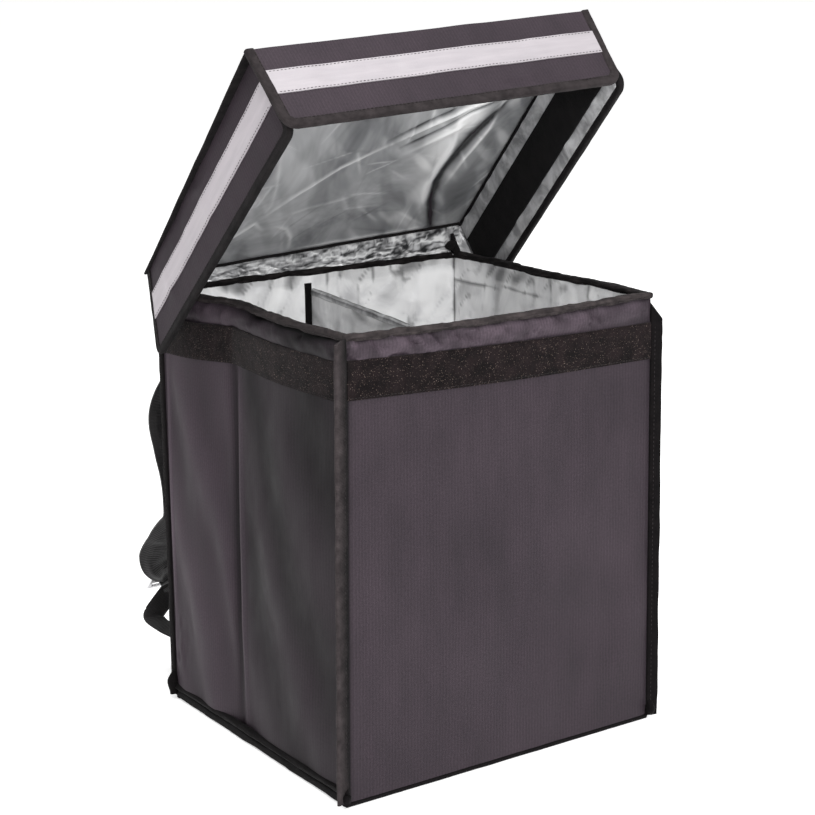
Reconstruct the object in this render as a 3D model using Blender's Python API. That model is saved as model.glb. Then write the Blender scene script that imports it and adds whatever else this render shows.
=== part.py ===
"""An insulated delivery backpack that stands with its lid open.

Metres, +Z up. The origin is the middle of the base's underside. The front panel
faces -Y, and the back panel, with its two shoulder straps, faces +Y.
"""

import math
from collections import namedtuple

import bmesh
import bpy
from mathutils import Vector

# Body, between the seams of its corners
BODY_WIDTH = 0.375
BODY_DEPTH = 0.350
BODY_HEIGHT = 0.460
PANEL_THICKNESS = 0.006
LINING_THICKNESS = 0.0012

# Base board and the bindings round its foot
BASE_THICKNESS = 0.016
FOOT_BINDING_HEIGHT = 0.0100
FRONT_HEM_HEIGHT = 0.0045
FOOT_BINDING_DEPTH = 0.006
FLOOR_CLEARANCE = 0.0005

# Rim: binding, rolled cloth and hook tape below it
RIM_BINDING_HEIGHT = 0.012
RIM_BINDING_OVERHANG = 0.001
RIM_ROUNDING = 0.003
ROLL_HEIGHT = 0.015
ROLL_DEPTH = 0.003
HOOK_TAPE_WIDTH = 0.038
TAPE_THICKNESS = 0.0018

# Standing bindings of the four corners
CORNER_BINDING_WIDTH = 0.011
CORNER_BINDING_THICKNESS = 0.004
FRONT_BINDING_LEAN = math.radians(20)
BACK_BINDING_LEAN = math.radians(85)

# Divider and its hook tape on the back wall
DIVIDER_THICKNESS = 0.005
DIVIDER_SHIFT = -0.009
DIVIDER_DROP_BACK = 0.023
DIVIDER_DROP_FRONT = 0.045
DIVIDER_BINDING_HEIGHT = 0.008
DIVIDER_WAVE = 0.003
DIVIDER_TAPE_WIDTH = 0.024
DIVIDER_TAPE_DROP = 0.017
DIVIDER_LEVELS = (0.0, 0.35, 0.7, 1.0)
DIVIDER_STATIONS = (0.0, 0.2, 0.4, 0.6, 0.8, 1.0)

# Lid: it overhangs each side of the body, and is a little shorter than the body is deep
LID_OVERHANG = 0.017
LID_SHORTFALL = 0.005
LID_THICKNESS = 0.008
LID_PILLOW = 0.003
LID_STATIONS = (0.0, 0.1, 0.3, 0.5, 0.7, 0.9, 1.0)
SKIRT_HEIGHT = 0.0955
SKIRT_THICKNESS = 0.005
SKIRT_CORNER = 0.015
SKIRT_REAR_CORNER = 0.013
SKIRT_TAPER = 0.012
LID_BINDING_WIDTH = 0.010
LID_BINDING_PROUD = 0.001
LID_EDGE_THICKNESS = 0.003
SKIRT_FLARE = 0.006
SKIRT_REAR_OVERHANG = 0.020
STRIPE_WIDTH = 0.028
STRIPE_RISE = 0.0395
STRIPE_THICKNESS = 0.0008
LOOP_TAPE_WIDTH = 0.044
LOOP_TAPE_RISE = 0.0195
HINGE_THICKNESS = 0.0016
HINGE_RISE = 0.021
HINGE_SETBACK = 0.013
HINGE_SHIFT = 0.0025
HINGE_STATIONS = (0.0, 0.25, 0.5, 0.75, 1.0)
LID_ANGLE = math.radians(45.1)
LID_YAW = math.radians(-2.1)
LID_TILT = math.radians(-3.7)

# Side skirts: which side, and how far the lower edge leans out at the front and rear
SideSkirt = namedtuple("SideSkirt", "side splay_front splay_rear")
SIDE_SKIRTS = {
    "left": SideSkirt(-1, 0.002, 0.022),
    "right": SideSkirt(1, 0.007, 0.004),
}
SKIRT_STRIPS = 24

# Shoulder straps
STRAP_WIDTH = 0.060
STRAP_THICKNESS = 0.010
STRAP_END_WIDTH = 0.029
STRAP_TAPER_START = 0.88
WEBBING_WIDTH = 0.025
WEBBING_THICKNESS = 0.0016
BUCKLE_LENGTH = 0.026
BUCKLE_WALL = 0.0035
BUCKLE_THICKNESS = 0.0028

# Gaps between sewn pieces
TOUCH = 0.0003
SEAM_GAP = 0.0008
TAPE_GAP = 0.0005

# Which way each corner stands, and how far it leans out of a plain box, in shares
# of the body's width, depth and height
Corner = namedtuple("Corner", "side end foot_x foot_y rim_x rim_y rim_z")
CORNERS = {
    "front_left": Corner(-1, -1, -0.023, -0.029, 0.019, 0.004, 0.0),
    "front_right": Corner(1, -1, 0.002, 0.016, -0.006, 0.003, -0.001),
    "back_right": Corner(1, 1, 0.0, 0.0, -0.002, -0.003, -0.005),
    "back_left": Corner(-1, 1, 0.003, 0.011, -0.003, -0.002, -0.004),
}

# The walls, run anticlockwise seen from above. Crown swells a wall, and a crease
# folds it inward, both in shares of the body's depth. Middle is the share of the
# wall's run at which the crease lies. Sag is how far the middle of the rim hangs
# down, in shares of the body's height. Roll is 1 where the cloth is rolled over the
# rim, and 0 where it isn't.
Wall = namedtuple(
    "Wall",
    "start end outward crown crease_foot crease_rim middle_foot middle_rim sag roll stations",
)
PLAIN = (0.2, 0.4, 0.6, 0.8)
CREASED = (0.1, 0.22, 0.34, 0.44, 0.5, 0.56, 0.66, 0.78, 0.9)
WALLS = {
    "front": Wall(
        "front_left", "front_right", Vector((0, -1, 0)), 0.006, 0, 0, 0.5, 0.5, 0.0065, 1, PLAIN
    ),
    "right": Wall(
        "front_right",
        "back_right",
        Vector((1, 0, 0)),
        *(0.012, 0.010, 0.010, 0.5, 0.5, 0, 1, CREASED),
    ),
    "back": Wall("back_right", "back_left", Vector((0, 1, 0)), 0, 0, 0, 0.5, 0.5, 0, 0, PLAIN),
    "left": Wall(
        "back_left",
        "front_left",
        Vector((-1, 0, 0)),
        *(0.012, 0.014, 0.045, 0.40, 0.345, 0, 1, CREASED),
    ),
}
CREASE_SHARPNESS = 1.7
SAG_SHARPNESS = 3
ROLL_ENDING = 0.25
LEVEL_SHARES = (0.16, 0.32, 0.48, 0.64, 0.76)
ROLL_SHARES = (0.2, 0.5, 0.8)

# Route of a shoulder strap's outer face: across as a share of half the body's
# width, out from the back panel as a share of the strap's bow, up as a share of
# the body's height
StrapPoint = namedtuple("StrapPoint", "across out up")
STRAP_BOW = 0.080
STRAP_ROUTE = (
    StrapPoint(0.36, 0.00, 0.930),
    StrapPoint(0.42, 0.012, 0.885),
    StrapPoint(0.57, 0.12, 0.825),
    StrapPoint(0.72, 0.29, 0.755),
    StrapPoint(0.80, 0.40, 0.680),
    StrapPoint(0.82, 0.31, 0.605),
    StrapPoint(0.82, 0.20, 0.540),
    StrapPoint(0.82, 0.16, 0.480),
    StrapPoint(0.82, 0.27, 0.425),
    StrapPoint(0.82, 0.44, 0.365),
    StrapPoint(0.82, 0.66, 0.305),
    StrapPoint(0.82, 0.92, 0.255),
)
WEBBING_ROUTE = (
    StrapPoint(0.82, 1.10, 0.165),
    StrapPoint(0.82, 1.06, 0.138),
    StrapPoint(0.82, 0.88, 0.116),
    StrapPoint(0.82, 0.58, 0.104),
    StrapPoint(0.82, 0.30, 0.100),
    StrapPoint(0.82, 0.12, 0.101),
    StrapPoint(0.82, 0.03, 0.112),
    StrapPoint(0.82, 0.004, 0.130),
    StrapPoint(0.82, 0.00, 0.155),
)

# Finish: red, green, blue, roughness, metallic
Finish = namedtuple("Finish", "red green blue roughness metallic")
FINISHES = {
    "cloth": Finish(0.070, 0.060, 0.068, 0.75, 0.0),
    "binding": Finish(0.030, 0.027, 0.029, 0.85, 0.0),
    "tape": Finish(0.012, 0.010, 0.011, 0.95, 0.0),
    "foil": Finish(0.80, 0.81, 0.82, 0.28, 1.0),
    "reflective": Finish(0.76, 0.72, 0.75, 0.45, 0.1),
    "webbing": Finish(0.015, 0.014, 0.015, 0.80, 0.0),
    "steel": Finish(0.70, 0.70, 0.71, 0.25, 1.0),
}

LID_WIDTH = BODY_WIDTH + 2 * LID_OVERHANG
LID_DEPTH = BODY_DEPTH - LID_SHORTFALL
RIM_UNDERSIDE = BODY_HEIGHT - RIM_BINDING_HEIGHT - TOUCH
ROLL_TOP = BODY_HEIGHT - RIM_BINDING_HEIGHT
HOOK_TOP = ROLL_TOP - ROLL_HEIGHT
HOOK_BOTTOM = HOOK_TOP - HOOK_TAPE_WIDTH
LINING_OUT = PANEL_THICKNESS + TOUCH
INSIDE = LINING_OUT + LINING_THICKNESS
SKIRT_FRONT = LID_DEPTH - SKIRT_THICKNESS - TOUCH
LINING_TOP = LID_THICKNESS + LID_PILLOW + 2 * LINING_THICKNESS + SEAM_GAP


def lerp(first, last, share):
    return first + (last - first) * share


def clear_scene():
    for old in list(bpy.data.objects):
        bpy.data.objects.remove(old)


def finish_of(name, kind):
    finish = FINISHES[kind]
    material = bpy.data.materials.new(name + "_finish")
    material.use_nodes = True
    shader = material.node_tree.nodes["Principled BSDF"]
    shader.inputs["Base Color"].default_value = (finish.red, finish.green, finish.blue, 1)
    shader.inputs["Roughness"].default_value = finish.roughness
    shader.inputs["Metallic"].default_value = finish.metallic
    return material


def solid(name, points, faces, kind, smooth=True):
    """One closed mesh object, with its faces turned outward."""
    mesh = bpy.data.meshes.new(name)
    mesh.from_pydata([tuple(p) for p in points], [], faces)
    shape = bmesh.new()
    shape.from_mesh(mesh)
    bmesh.ops.recalc_face_normals(shape, faces=shape.faces)
    shape.to_mesh(mesh)
    shape.free()
    mesh.materials.append(finish_of(name, kind))
    if smooth:
        mesh.shade_smooth()
        mesh.set_sharp_from_angle(angle=math.radians(40))
    piece = bpy.data.objects.new(name, mesh)
    bpy.context.scene.collection.objects.link(piece)
    return piece


def slab(name, outer, inner, kind):
    """A sheet with thickness, between two grids of points of the same size."""
    rows, columns = len(outer), len(outer[0])
    points = [p for row in outer for p in row] + [p for row in inner for p in row]
    back = rows * columns

    def at(row, column):
        return row * columns + column

    faces = []
    for row in range(rows - 1):
        for column in range(columns - 1):
            a, b = at(row, column), at(row, column + 1)
            c, d = at(row + 1, column + 1), at(row + 1, column)
            faces += [(a, b, c), (a, c, d), (back + c, back + b, back + a)]
            faces.append((back + d, back + c, back + a))
    border = [at(0, c) for c in range(columns)]
    border += [at(r, columns - 1) for r in range(1, rows)]
    border += [at(rows - 1, c) for c in range(columns - 2, -1, -1)]
    border += [at(r, 0) for r in range(rows - 2, 0, -1)]
    for here, after in zip(border, border[1:] + border[:1]):
        faces.append((here, after, back + after, back + here))
    return solid(name, points, faces, kind)


def sweep(name, rings, kind, closed=False):
    """A body through rings of points, capped at both ends unless it is closed."""
    size = len(rings[0])
    points = [p for ring in rings for p in ring]
    faces = []
    for here in range(len(rings) if closed else len(rings) - 1):
        after = (here + 1) % len(rings)
        for corner in range(size):
            turn = (corner + 1) % size
            faces.append(
                (
                    here * size + corner,
                    here * size + turn,
                    after * size + turn,
                    after * size + corner,
                )
            )
    if not closed:
        faces.append(tuple(range(size)))
        faces.append(tuple(len(points) - size + corner for corner in range(size)))
    return solid(name, points, faces, kind)


def prism(name, outline, place, depths, kind):
    """An outline in two coordinates, given thickness between two depths."""
    rings = [[place(x, y, depth) for x, y in outline] for depth in depths]
    return sweep(name, rings, kind)


def rounded(points, radii, steps=4):
    """The open path through these points, with an arc at each inner one."""
    path = [Vector(points[0])]
    for before, corner, after, radius in zip(points, points[1:], points[2:], radii):
        corner = Vector(corner)
        back = (Vector(before) - corner).normalized()
        ahead = (Vector(after) - corner).normalized()
        half = back.angle(ahead) / 2
        reach = radius / math.tan(half)
        middle = corner + (back + ahead).normalized() * (radius / math.sin(half))
        start = corner + back * reach - middle
        finish = corner + ahead * reach - middle
        turn = start.angle_signed(finish)
        for step in range(steps + 1):
            angle = -turn * step / steps
            path.append(
                middle
                + Vector(
                    (
                        start.x * math.cos(angle) - start.y * math.sin(angle),
                        start.x * math.sin(angle) + start.y * math.cos(angle),
                    )
                )
            )
    path.append(Vector(points[-1]))
    return path


def inset_path(path, distance):
    """The open path moved sideways, to its left, by this distance."""
    moved = []
    for index, point in enumerate(path):
        before = path[max(index - 1, 0)]
        after = path[min(index + 1, len(path) - 1)]
        first = (point - before).normalized() if index else (after - point).normalized()
        last = (after - point).normalized() if index < len(path) - 1 else first
        left = Vector((-first.y - last.y, first.x + last.x)).normalized()
        stretch = max(left.dot(Vector((-first.y, first.x))), 0.5)
        moved.append(point + left * (distance / stretch))
    return moved


def roll_bump(z):
    """The cloth rolled over the rim stands out between the tape and the binding."""
    share = (z - HOOK_TOP) / (ROLL_TOP - HOOK_TOP)
    return ROLL_DEPTH * math.sin(math.pi * share) if 0 < share < 1 else 0.0


def corner_point(name, z):
    corner = CORNERS[name]
    up = z / BODY_HEIGHT
    lean_x = BODY_WIDTH * lerp(corner.foot_x, corner.rim_x, up)
    lean_y = BODY_DEPTH * lerp(corner.foot_y, corner.rim_y, up)
    return Vector(
        (
            corner.side * BODY_WIDTH / 2 + lean_x,
            corner.end * BODY_DEPTH / 2 + lean_y,
            z * (1 + corner.rim_z),
        )
    )


def shifted(share, middle):
    """A share of a wall's run, moved so that one half becomes this share."""
    return 2 * middle * share if share < 0.5 else middle + (2 * share - 1) * (1 - middle)


def wall_point(wall, share, inset, z, out):
    """A point of a wall: a share of its run plus an inset, at a height, this far out."""
    wall = WALLS[wall]
    start, end = corner_point(wall.start, z), corner_point(wall.end, z)
    along = min(max(share + inset / (end - start).length, 0.0), 1.0)
    up = z / BODY_HEIGHT
    fold = (1 - abs(2 * along - 1)) ** CREASE_SHARPNESS
    inward = BODY_DEPTH * lerp(wall.crease_foot, wall.crease_rim, up) * fold
    crown = BODY_DEPTH * wall.crown * math.sin(math.pi * along) ** 2 * math.sin(math.pi * up)
    if wall.crease_rim:
        crown = BODY_DEPTH * wall.crown * math.sin(2 * math.pi * along) ** 2
    bump = roll_bump(z) * wall.roll * math.sin(math.pi * along) ** ROLL_ENDING if out > 0 else 0
    placed = shifted(share, lerp(wall.middle_foot, wall.middle_rim, up))
    spot = start + (end - start) * (placed + inset / (end - start).length)
    spot.z -= BODY_HEIGHT * wall.sag * math.sin(math.pi * along) * up**SAG_SHARPNESS
    return spot + wall.outward * (out + crown - inward + bump)


def run_of(wall, inset):
    """The stations of a wall as share and inset, from one end to the other."""
    inner = [(share, 0.0) for share in WALLS[wall].stations]
    return [(0.0, inset)] + inner + [(1.0, -inset)]


def levels(bottom, top):
    """The heights at which the walls are sampled, between these two."""
    steps = [share * BODY_HEIGHT for share in LEVEL_SHARES] + [HOOK_BOTTOM, HOOK_TOP]
    steps += [lerp(HOOK_TOP, ROLL_TOP, share) for share in ROLL_SHARES]
    return [bottom] + [z for z in steps if bottom + TOUCH < z < top - TOUCH] + [top]


def wall_grid(wall, inset, heights, out):
    run = run_of(wall, inset)
    return [[wall_point(wall, share, step, z, out) for share, step in run] for z in heights]


def wall_slab(name, wall, inset, heights, out, inner, kind):
    outer_grid = wall_grid(wall, inset, heights, out)
    return slab(name, outer_grid, wall_grid(wall, inset, heights, inner), kind)


def ring_points(z, out):
    """Points all round the body at one height, this far out of its walls."""
    points = []
    for wall in WALLS:
        points.append(wall_point(wall, 0.0, -out, z, out))
        points += [wall_point(wall, share, 0.0, z, out) for share in WALLS[wall].stations]
    return points


def make_panels():
    side_inset = PANEL_THICKNESS + SEAM_GAP
    front_foot = FLOOR_CLEARANCE + FRONT_HEM_HEIGHT + TOUCH
    side_foot = BASE_THICKNESS + TOUCH
    for wall, inset, foot in (
        ("front", 0.0, front_foot),
        ("back", 0.0, front_foot),
        ("left", side_inset, side_foot),
        ("right", side_inset, side_foot),
    ):
        heights = levels(foot, RIM_UNDERSIDE)
        wall_slab(wall + "_panel", wall, inset, heights, TOUCH / 100, -PANEL_THICKNESS, "cloth")


def make_base():
    side = FOOT_BINDING_DEPTH + SEAM_GAP
    end = PANEL_THICKNESS + SEAM_GAP
    rings = []
    for z in (0.0, BASE_THICKNESS):
        ring = []
        for name, corner in CORNERS.items():
            spot = corner_point(name, z)
            ring.append(Vector((spot.x - corner.side * side, spot.y - corner.end * end, z)))
        rings.append(ring)
    sweep("base_panel", rings, "cloth")


def foot_bar(name, wall, inset, bottom, top, out):
    """A binding along the foot of a wall, between two heights."""
    rings = []
    for share, step in ((0.0, inset), (0.5, 0.0), (1.0, -inset)):
        low = foot_point(wall, share, step, out)
        deep = foot_point(wall, share, step, out - FOOT_BINDING_DEPTH)
        rings.append([low + Vector((0, 0, z)) for z in (bottom, top)])
        rings[-1] += [deep + Vector((0, 0, z)) for z in (top, bottom)]
    sweep(name, rings, "binding")


def foot_point(wall, share, inset, out):
    """A point on the straight line between two feet of the body, at floor level."""
    start, end = corner_point(WALLS[wall].start, 0.0), corner_point(WALLS[wall].end, 0.0)
    along = share + inset / (end - start).length
    return start + (end - start) * along + WALLS[wall].outward * out


def make_foot_bindings():
    side_inset = PANEL_THICKNESS + SEAM_GAP
    low_top = FLOOR_CLEARANCE + FOOT_BINDING_HEIGHT
    for wall in ("left", "right"):
        foot_bar(
            f"base_binding_{wall}", wall, side_inset, FLOOR_CLEARANCE, low_top, -TOUCH
        )
        foot_bar(
            f"base_seam_binding_{wall}",
            wall,
            side_inset,
            low_top + TOUCH,
            BASE_THICKNESS - TOUCH,
            -TOUCH,
        )
    for wall in ("front", "back"):
        hem_top = FLOOR_CLEARANCE + FRONT_HEM_HEIGHT
        foot_bar(f"base_binding_{wall}", wall, 0.0, FLOOR_CLEARANCE, hem_top, -TOUCH)


def make_rim_binding():
    """A closed ring with rounded upper edges, on top of the walls and the lining."""
    outer, inner = RIM_BINDING_OVERHANG, -INSIDE - RIM_BINDING_OVERHANG
    foot = BODY_HEIGHT - RIM_BINDING_HEIGHT
    profile = (
        (outer, foot),
        (outer, BODY_HEIGHT - RIM_ROUNDING),
        (outer - RIM_ROUNDING, BODY_HEIGHT),
        (inner + RIM_ROUNDING, BODY_HEIGHT),
        (inner, BODY_HEIGHT - RIM_ROUNDING),
        (inner, foot),
    )
    lines = [ring_points(z, out) for out, z in profile]
    sweep("rim_binding", list(zip(*lines)), "binding", closed=True)


def make_corner_bindings():
    for name, corner in CORNERS.items():
        lean = FRONT_BINDING_LEAN if corner.end < 0 else BACK_BINDING_LEAN
        ahead = Vector((corner.side * math.cos(lean), corner.end * math.sin(lean), 0))
        beside = Vector((-ahead.y, ahead.x, 0)) * CORNER_BINDING_THICKNESS / 2
        root = ahead * 2 * TOUCH
        tip = root + ahead * CORNER_BINDING_WIDTH
        edge = ahead * CORNER_BINDING_THICKNESS / 4
        rings = []
        top = RIM_UNDERSIDE - TOUCH
        for z in [FLOOR_CLEARANCE + FRONT_HEM_HEIGHT, *levels(BASE_THICKNESS, top)]:
            spot = corner_point(name, z)
            rings.append(
                [
                    spot + root - beside / 2,
                    spot + root + edge - beside,
                    spot + tip - edge - beside,
                    spot + tip - beside / 2,
                    spot + tip + beside / 2,
                    spot + tip - edge + beside,
                    spot + root + edge + beside,
                    spot + root + beside / 2,
                ]
            )
        sweep(f"corner_binding_{name}", rings, "binding")


def make_hook_tapes():
    heights = [HOOK_BOTTOM, HOOK_TOP]
    for wall, inset in (
        ("front", TAPE_THICKNESS),
        ("left", PANEL_THICKNESS + SEAM_GAP),
        ("right", PANEL_THICKNESS + SEAM_GAP),
    ):
        wall_slab(
            f"hook_tape_{wall}", wall, inset, heights, TAPE_GAP + TAPE_THICKNESS, TAPE_GAP, "tape"
        )


def make_lining():
    """An open foil box that lines the body: four walls and a floor."""
    floor = BASE_THICKNESS + TOUCH
    heights = [floor, *levels(floor + LINING_THICKNESS, RIM_UNDERSIDE)]
    outer = [ring_points(z, -LINING_OUT) for z in heights]
    inner = [ring_points(z, -INSIDE) for z in heights[1:]]
    rings = outer + inner[::-1]
    sweep("body_lining", rings, "foil")


def divider_grid(bottom, top, side, back, front):
    """One face of the divider, which waves a little along its length."""
    grid = []
    for up in DIVIDER_LEVELS:
        row = []
        for along in DIVIDER_STATIONS:
            y = lerp(back, front, along)
            z = lerp(bottom(along), top(along), up)
            wave = DIVIDER_WAVE * math.sin(math.pi * along) * up
            row.append(Vector((DIVIDER_SHIFT + wave + side * DIVIDER_THICKNESS / 2, y, z)))
        grid.append(row)
    return grid


def middle_of(wall, z, out):
    """A point of the front or back wall's inner side, at the divider's place."""
    share = 0.5 + DIVIDER_SHIFT / BODY_WIDTH * (1 if wall == "front" else -1)
    return wall_point(wall, share, 0.0, z, out)


def make_divider():
    floor = BASE_THICKNESS + 2 * TOUCH + LINING_THICKNESS
    mid = BODY_HEIGHT / 2
    tape_face = INSIDE + TAPE_THICKNESS + 2 * TAPE_GAP
    back = min(middle_of("back", z, -tape_face).y for z in (floor, mid, HOOK_TOP)) - TAPE_GAP
    front = max(middle_of("front", z, -INSIDE).y for z in (floor, mid, HOOK_TOP)) + TAPE_GAP

    def top(along):
        return BODY_HEIGHT - lerp(DIVIDER_DROP_BACK, DIVIDER_DROP_FRONT, along)

    def seam(along):
        return top(along) - DIVIDER_BINDING_HEIGHT

    slab(
        "divider_panel",
        divider_grid(lambda along: floor, lambda along: seam(along) - TOUCH, -1, back, front),
        divider_grid(lambda along: floor, lambda along: seam(along) - TOUCH, 1, back, front),
        "foil",
    )
    slab(
        "divider_binding",
        divider_grid(seam, top, -1, back, front),
        divider_grid(seam, top, 1, back, front),
        "foil",
    )
    tape = []
    for out in (-INSIDE - TAPE_GAP, -tape_face + TAPE_GAP):
        grid = []
        for z in (floor + TAPE_GAP, mid, BODY_HEIGHT - DIVIDER_TAPE_DROP):
            spot = middle_of("back", z, out)
            shift = Vector((DIVIDER_TAPE_WIDTH / 2, 0, 0))
            grid.append([spot + shift, spot - shift])
        tape.append(grid)
    slab("divider_tape", tape[0], tape[1], "tape")


def lid_frame():
    """The lid's hinge point and its three directions: across, forward and inward."""
    up = Vector((0, 0, 1))
    level = Vector((math.sin(LID_YAW), -math.cos(LID_YAW), 0))
    flat_across = Vector((math.cos(LID_YAW), math.sin(LID_YAW), 0))
    forward = level * math.cos(LID_ANGLE) + up * math.sin(LID_ANGLE)
    flat_inward = level * math.sin(LID_ANGLE) - up * math.cos(LID_ANGLE)
    across = flat_across * math.cos(LID_TILT) + flat_inward * math.sin(LID_TILT)
    inward = flat_inward * math.cos(LID_TILT) - flat_across * math.sin(LID_TILT)
    hinge = Vector((HINGE_SHIFT, BODY_DEPTH / 2 + HINGE_SETBACK, BODY_HEIGHT + HINGE_RISE))
    return hinge, across, forward, inward


def lid_point(across, forward, inward):
    hinge, right, ahead, down = lid_frame()
    return hinge + right * across + ahead * forward + down * inward


def skirt_inset(forward):
    """How far the outer face of a side skirt lies inside the lid's edge."""
    return lerp(LID_BINDING_WIDTH - SKIRT_FLARE, LID_BINDING_WIDTH, forward / LID_DEPTH)


def skirt_stations():
    """The places along a side skirt where all its layers bend."""
    return [SKIRT_FRONT * strip / SKIRT_STRIPS for strip in range(1, SKIRT_STRIPS)]


def side_outline():
    """Front edge, lower edge and slanted rear edge of a side skirt."""
    corners = [
        (SKIRT_FRONT, 0.0),
        (SKIRT_FRONT, SKIRT_HEIGHT),
        (-SKIRT_REAR_OVERHANG, SKIRT_HEIGHT),
        (0.0, 0.0),
    ]
    path = rounded(corners, (SKIRT_CORNER, SKIRT_REAR_CORNER))
    hem = [p for p in path if abs(p.y - SKIRT_HEIGHT) < TOUCH / 100]
    start, end = path.index(hem[0]), path.index(hem[-1])
    room = SEAM_GAP + LID_BINDING_WIDTH
    between = [f for f in skirt_stations() if hem[-1].x + room < f < hem[0].x - room]
    hem_points = [Vector((f, SKIRT_HEIGHT)) for f in reversed(between)]
    return path[: start + 1] + hem_points + path[end:]


def front_outline(narrowed=0.0):
    """Left edge, lower edge and right edge of the front skirt, or of its lining."""
    half = LID_WIDTH / 2 - narrowed
    corners = [
        (-half, 0.0),
        (-half, SKIRT_HEIGHT),
        (half - SKIRT_TAPER, SKIRT_HEIGHT),
        (half, 0.0),
    ]
    return rounded(corners, (SKIRT_CORNER, SKIRT_CORNER))


def below(path, level):
    """The stretch of an open outline that hangs lower than this level of a skirt."""
    kept = []
    for here, after in zip(path, path[1:]):
        if here.y >= level:
            kept.append(here)
        if (here.y - level) * (after.y - level) < 0:
            kept.append(here.lerp(after, (level - here.y) / (after.y - here.y)))
    if path[-1].y >= level:
        kept.append(path[-1])
    return kept


def turned_in(path, distance):
    """The outline of a skirt, moved towards its cloth by this distance."""
    closed = zip(path, [*path[1:], path[0]])
    area = sum(here.x * after.y - after.x * here.y for here, after in closed)
    return inset_path(path, math.copysign(distance, area))


def height_range(outline, x):
    """The lowest and highest value of a closed outline at this place along it."""
    found = []
    for here, after in zip(outline, [*outline[1:], outline[0]]):
        low, high = sorted((here[0], after[0]))
        if low <= x <= high and high > low:
            found.append(lerp(here[1], after[1], (x - here[0]) / (after[0] - here[0])))
    return min(found), max(found)


def ruled(name, outline, place, depths, kind):
    """A closed outline given thickness, in strips that let a skirt twist."""
    first = min(p[0] for p in outline) + TOUCH
    last = max(p[0] for p in outline) - TOUCH / 100
    stations = sorted([*skirt_stations(), *(p[0] for p in outline)])
    kept = [first]
    for x in stations:
        if kept[-1] + SEAM_GAP < x < last - SEAM_GAP:
            kept.append(x)
    kept.append(last)
    grids = []
    for depth in depths:
        ranges = [(x, *height_range(outline, x)) for x in kept]
        low = [place(x, bottom, depth) for x, bottom, _ in ranges]
        grids.append([low, [place(x, top, depth) for x, _, top in ranges]])
    slab(name, grids[0], grids[1], kind)


def binding_strip(name, path, place, depths):
    """The folded tape along three edges of a skirt."""
    inner = turned_in(path, LID_BINDING_WIDTH)
    inner[0].y = inner[-1].y = 0.0
    outer_grid = [[place(p.x, p.y, depths[0]) for p in path]]
    outer_grid.append([place(p.x, p.y, depths[0]) for p in inner])
    inner_grid = [[place(p.x, p.y, depths[1]) for p in path]]
    inner_grid.append([place(p.x, p.y, depths[1]) for p in inner])
    slab(name, outer_grid, inner_grid, "binding")


def crossings(path, level):
    """The first and last place, along a skirt, where an outline meets a level."""
    found = []
    for here, after in zip(path, path[1:]):
        if (here.y - level) * (after.y - level) <= 0 and here.y != after.y:
            found.append(lerp(here.x, after.x, (level - here.y) / (after.y - here.y)))
    return min(found), max(found)


def level_band(path, top, width):
    """The four corners of a tape that runs between the two arms of an outline."""
    high, low = crossings(path, top), crossings(path, top + width)
    return [(high[0], top), (high[1], top), (low[1], top + width), (low[0], top + width)]


def dress_skirt(name, path, lining_path, place, build):
    """The cloth, binding, stripe, lining and loop tape of one skirt."""
    cloth = below(turned_in(path, LID_BINDING_WIDTH + TOUCH), 0.0)
    build(f"lid_skirt_{name}", cloth, place, (0.0, SKIRT_THICKNESS), "cloth")
    depths = (-LID_BINDING_PROUD, SKIRT_THICKNESS)
    binding_strip(f"lid_binding_{name}", path, place, depths)
    inside = turned_in(path, LID_BINDING_WIDTH + SEAM_GAP)
    stripe = level_band(inside, SKIRT_HEIGHT - STRIPE_RISE - STRIPE_WIDTH, STRIPE_WIDTH)
    build(f"stripe_{name}", stripe, place, (-TOUCH - STRIPE_THICKNESS, -TOUCH), "reflective")
    face = SKIRT_THICKNESS + TOUCH
    lining = below(turned_in(lining_path, LID_BINDING_WIDTH + SEAM_GAP), LINING_TOP)
    build(f"lid_lining_{name}", lining, place, (face, face + LINING_THICKNESS), "foil")
    face += LINING_THICKNESS + TOUCH
    drop = SKIRT_HEIGHT - LOOP_TAPE_RISE - LOOP_TAPE_WIDTH
    tape = level_band(lining, drop, LOOP_TAPE_WIDTH)
    build(f"loop_tape_{name}", tape, place, (face, face + TAPE_THICKNESS), "tape")


def skirt_point(skirt, forward, inward, depth):
    """A point of a side skirt: along it, down it, and this far in from its face."""
    lean = lerp(skirt.splay_rear, skirt.splay_front, forward / SKIRT_FRONT)
    edge = LID_WIDTH / 2 - skirt_inset(forward) + lean * inward / SKIRT_HEIGHT - depth
    return lid_point(skirt.side * edge, forward, inward)


def make_skirts():
    def front(across, inward, depth):
        return lid_point(across, LID_DEPTH - depth, inward)

    narrowed = SKIRT_THICKNESS + LID_BINDING_PROUD + SEAM_GAP
    dress_skirt("front", front_outline(), front_outline(narrowed), front, prism)
    for name, skirt in SIDE_SKIRTS.items():

        def beside(forward, inward, depth, skirt=skirt):
            return skirt_point(skirt, forward, inward, depth)

        dress_skirt(name, side_outline(), side_outline(), beside, ruled)


def lid_grid(inset, depth, pillow, stretch):
    """A grid of points over a stretch of the lid, swollen in the middle."""
    grid = []
    for along in LID_STATIONS:
        forward = lerp(*stretch, along)
        half = LID_WIDTH / 2 - skirt_inset(forward) - SKIRT_THICKNESS - inset
        row = []
        for share in LID_STATIONS:
            swell = pillow * math.sin(math.pi * along) * math.sin(math.pi * share)
            row.append(lid_point(lerp(-half, half, share), forward, depth - swell))
        grid.append(row)
    return grid


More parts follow.
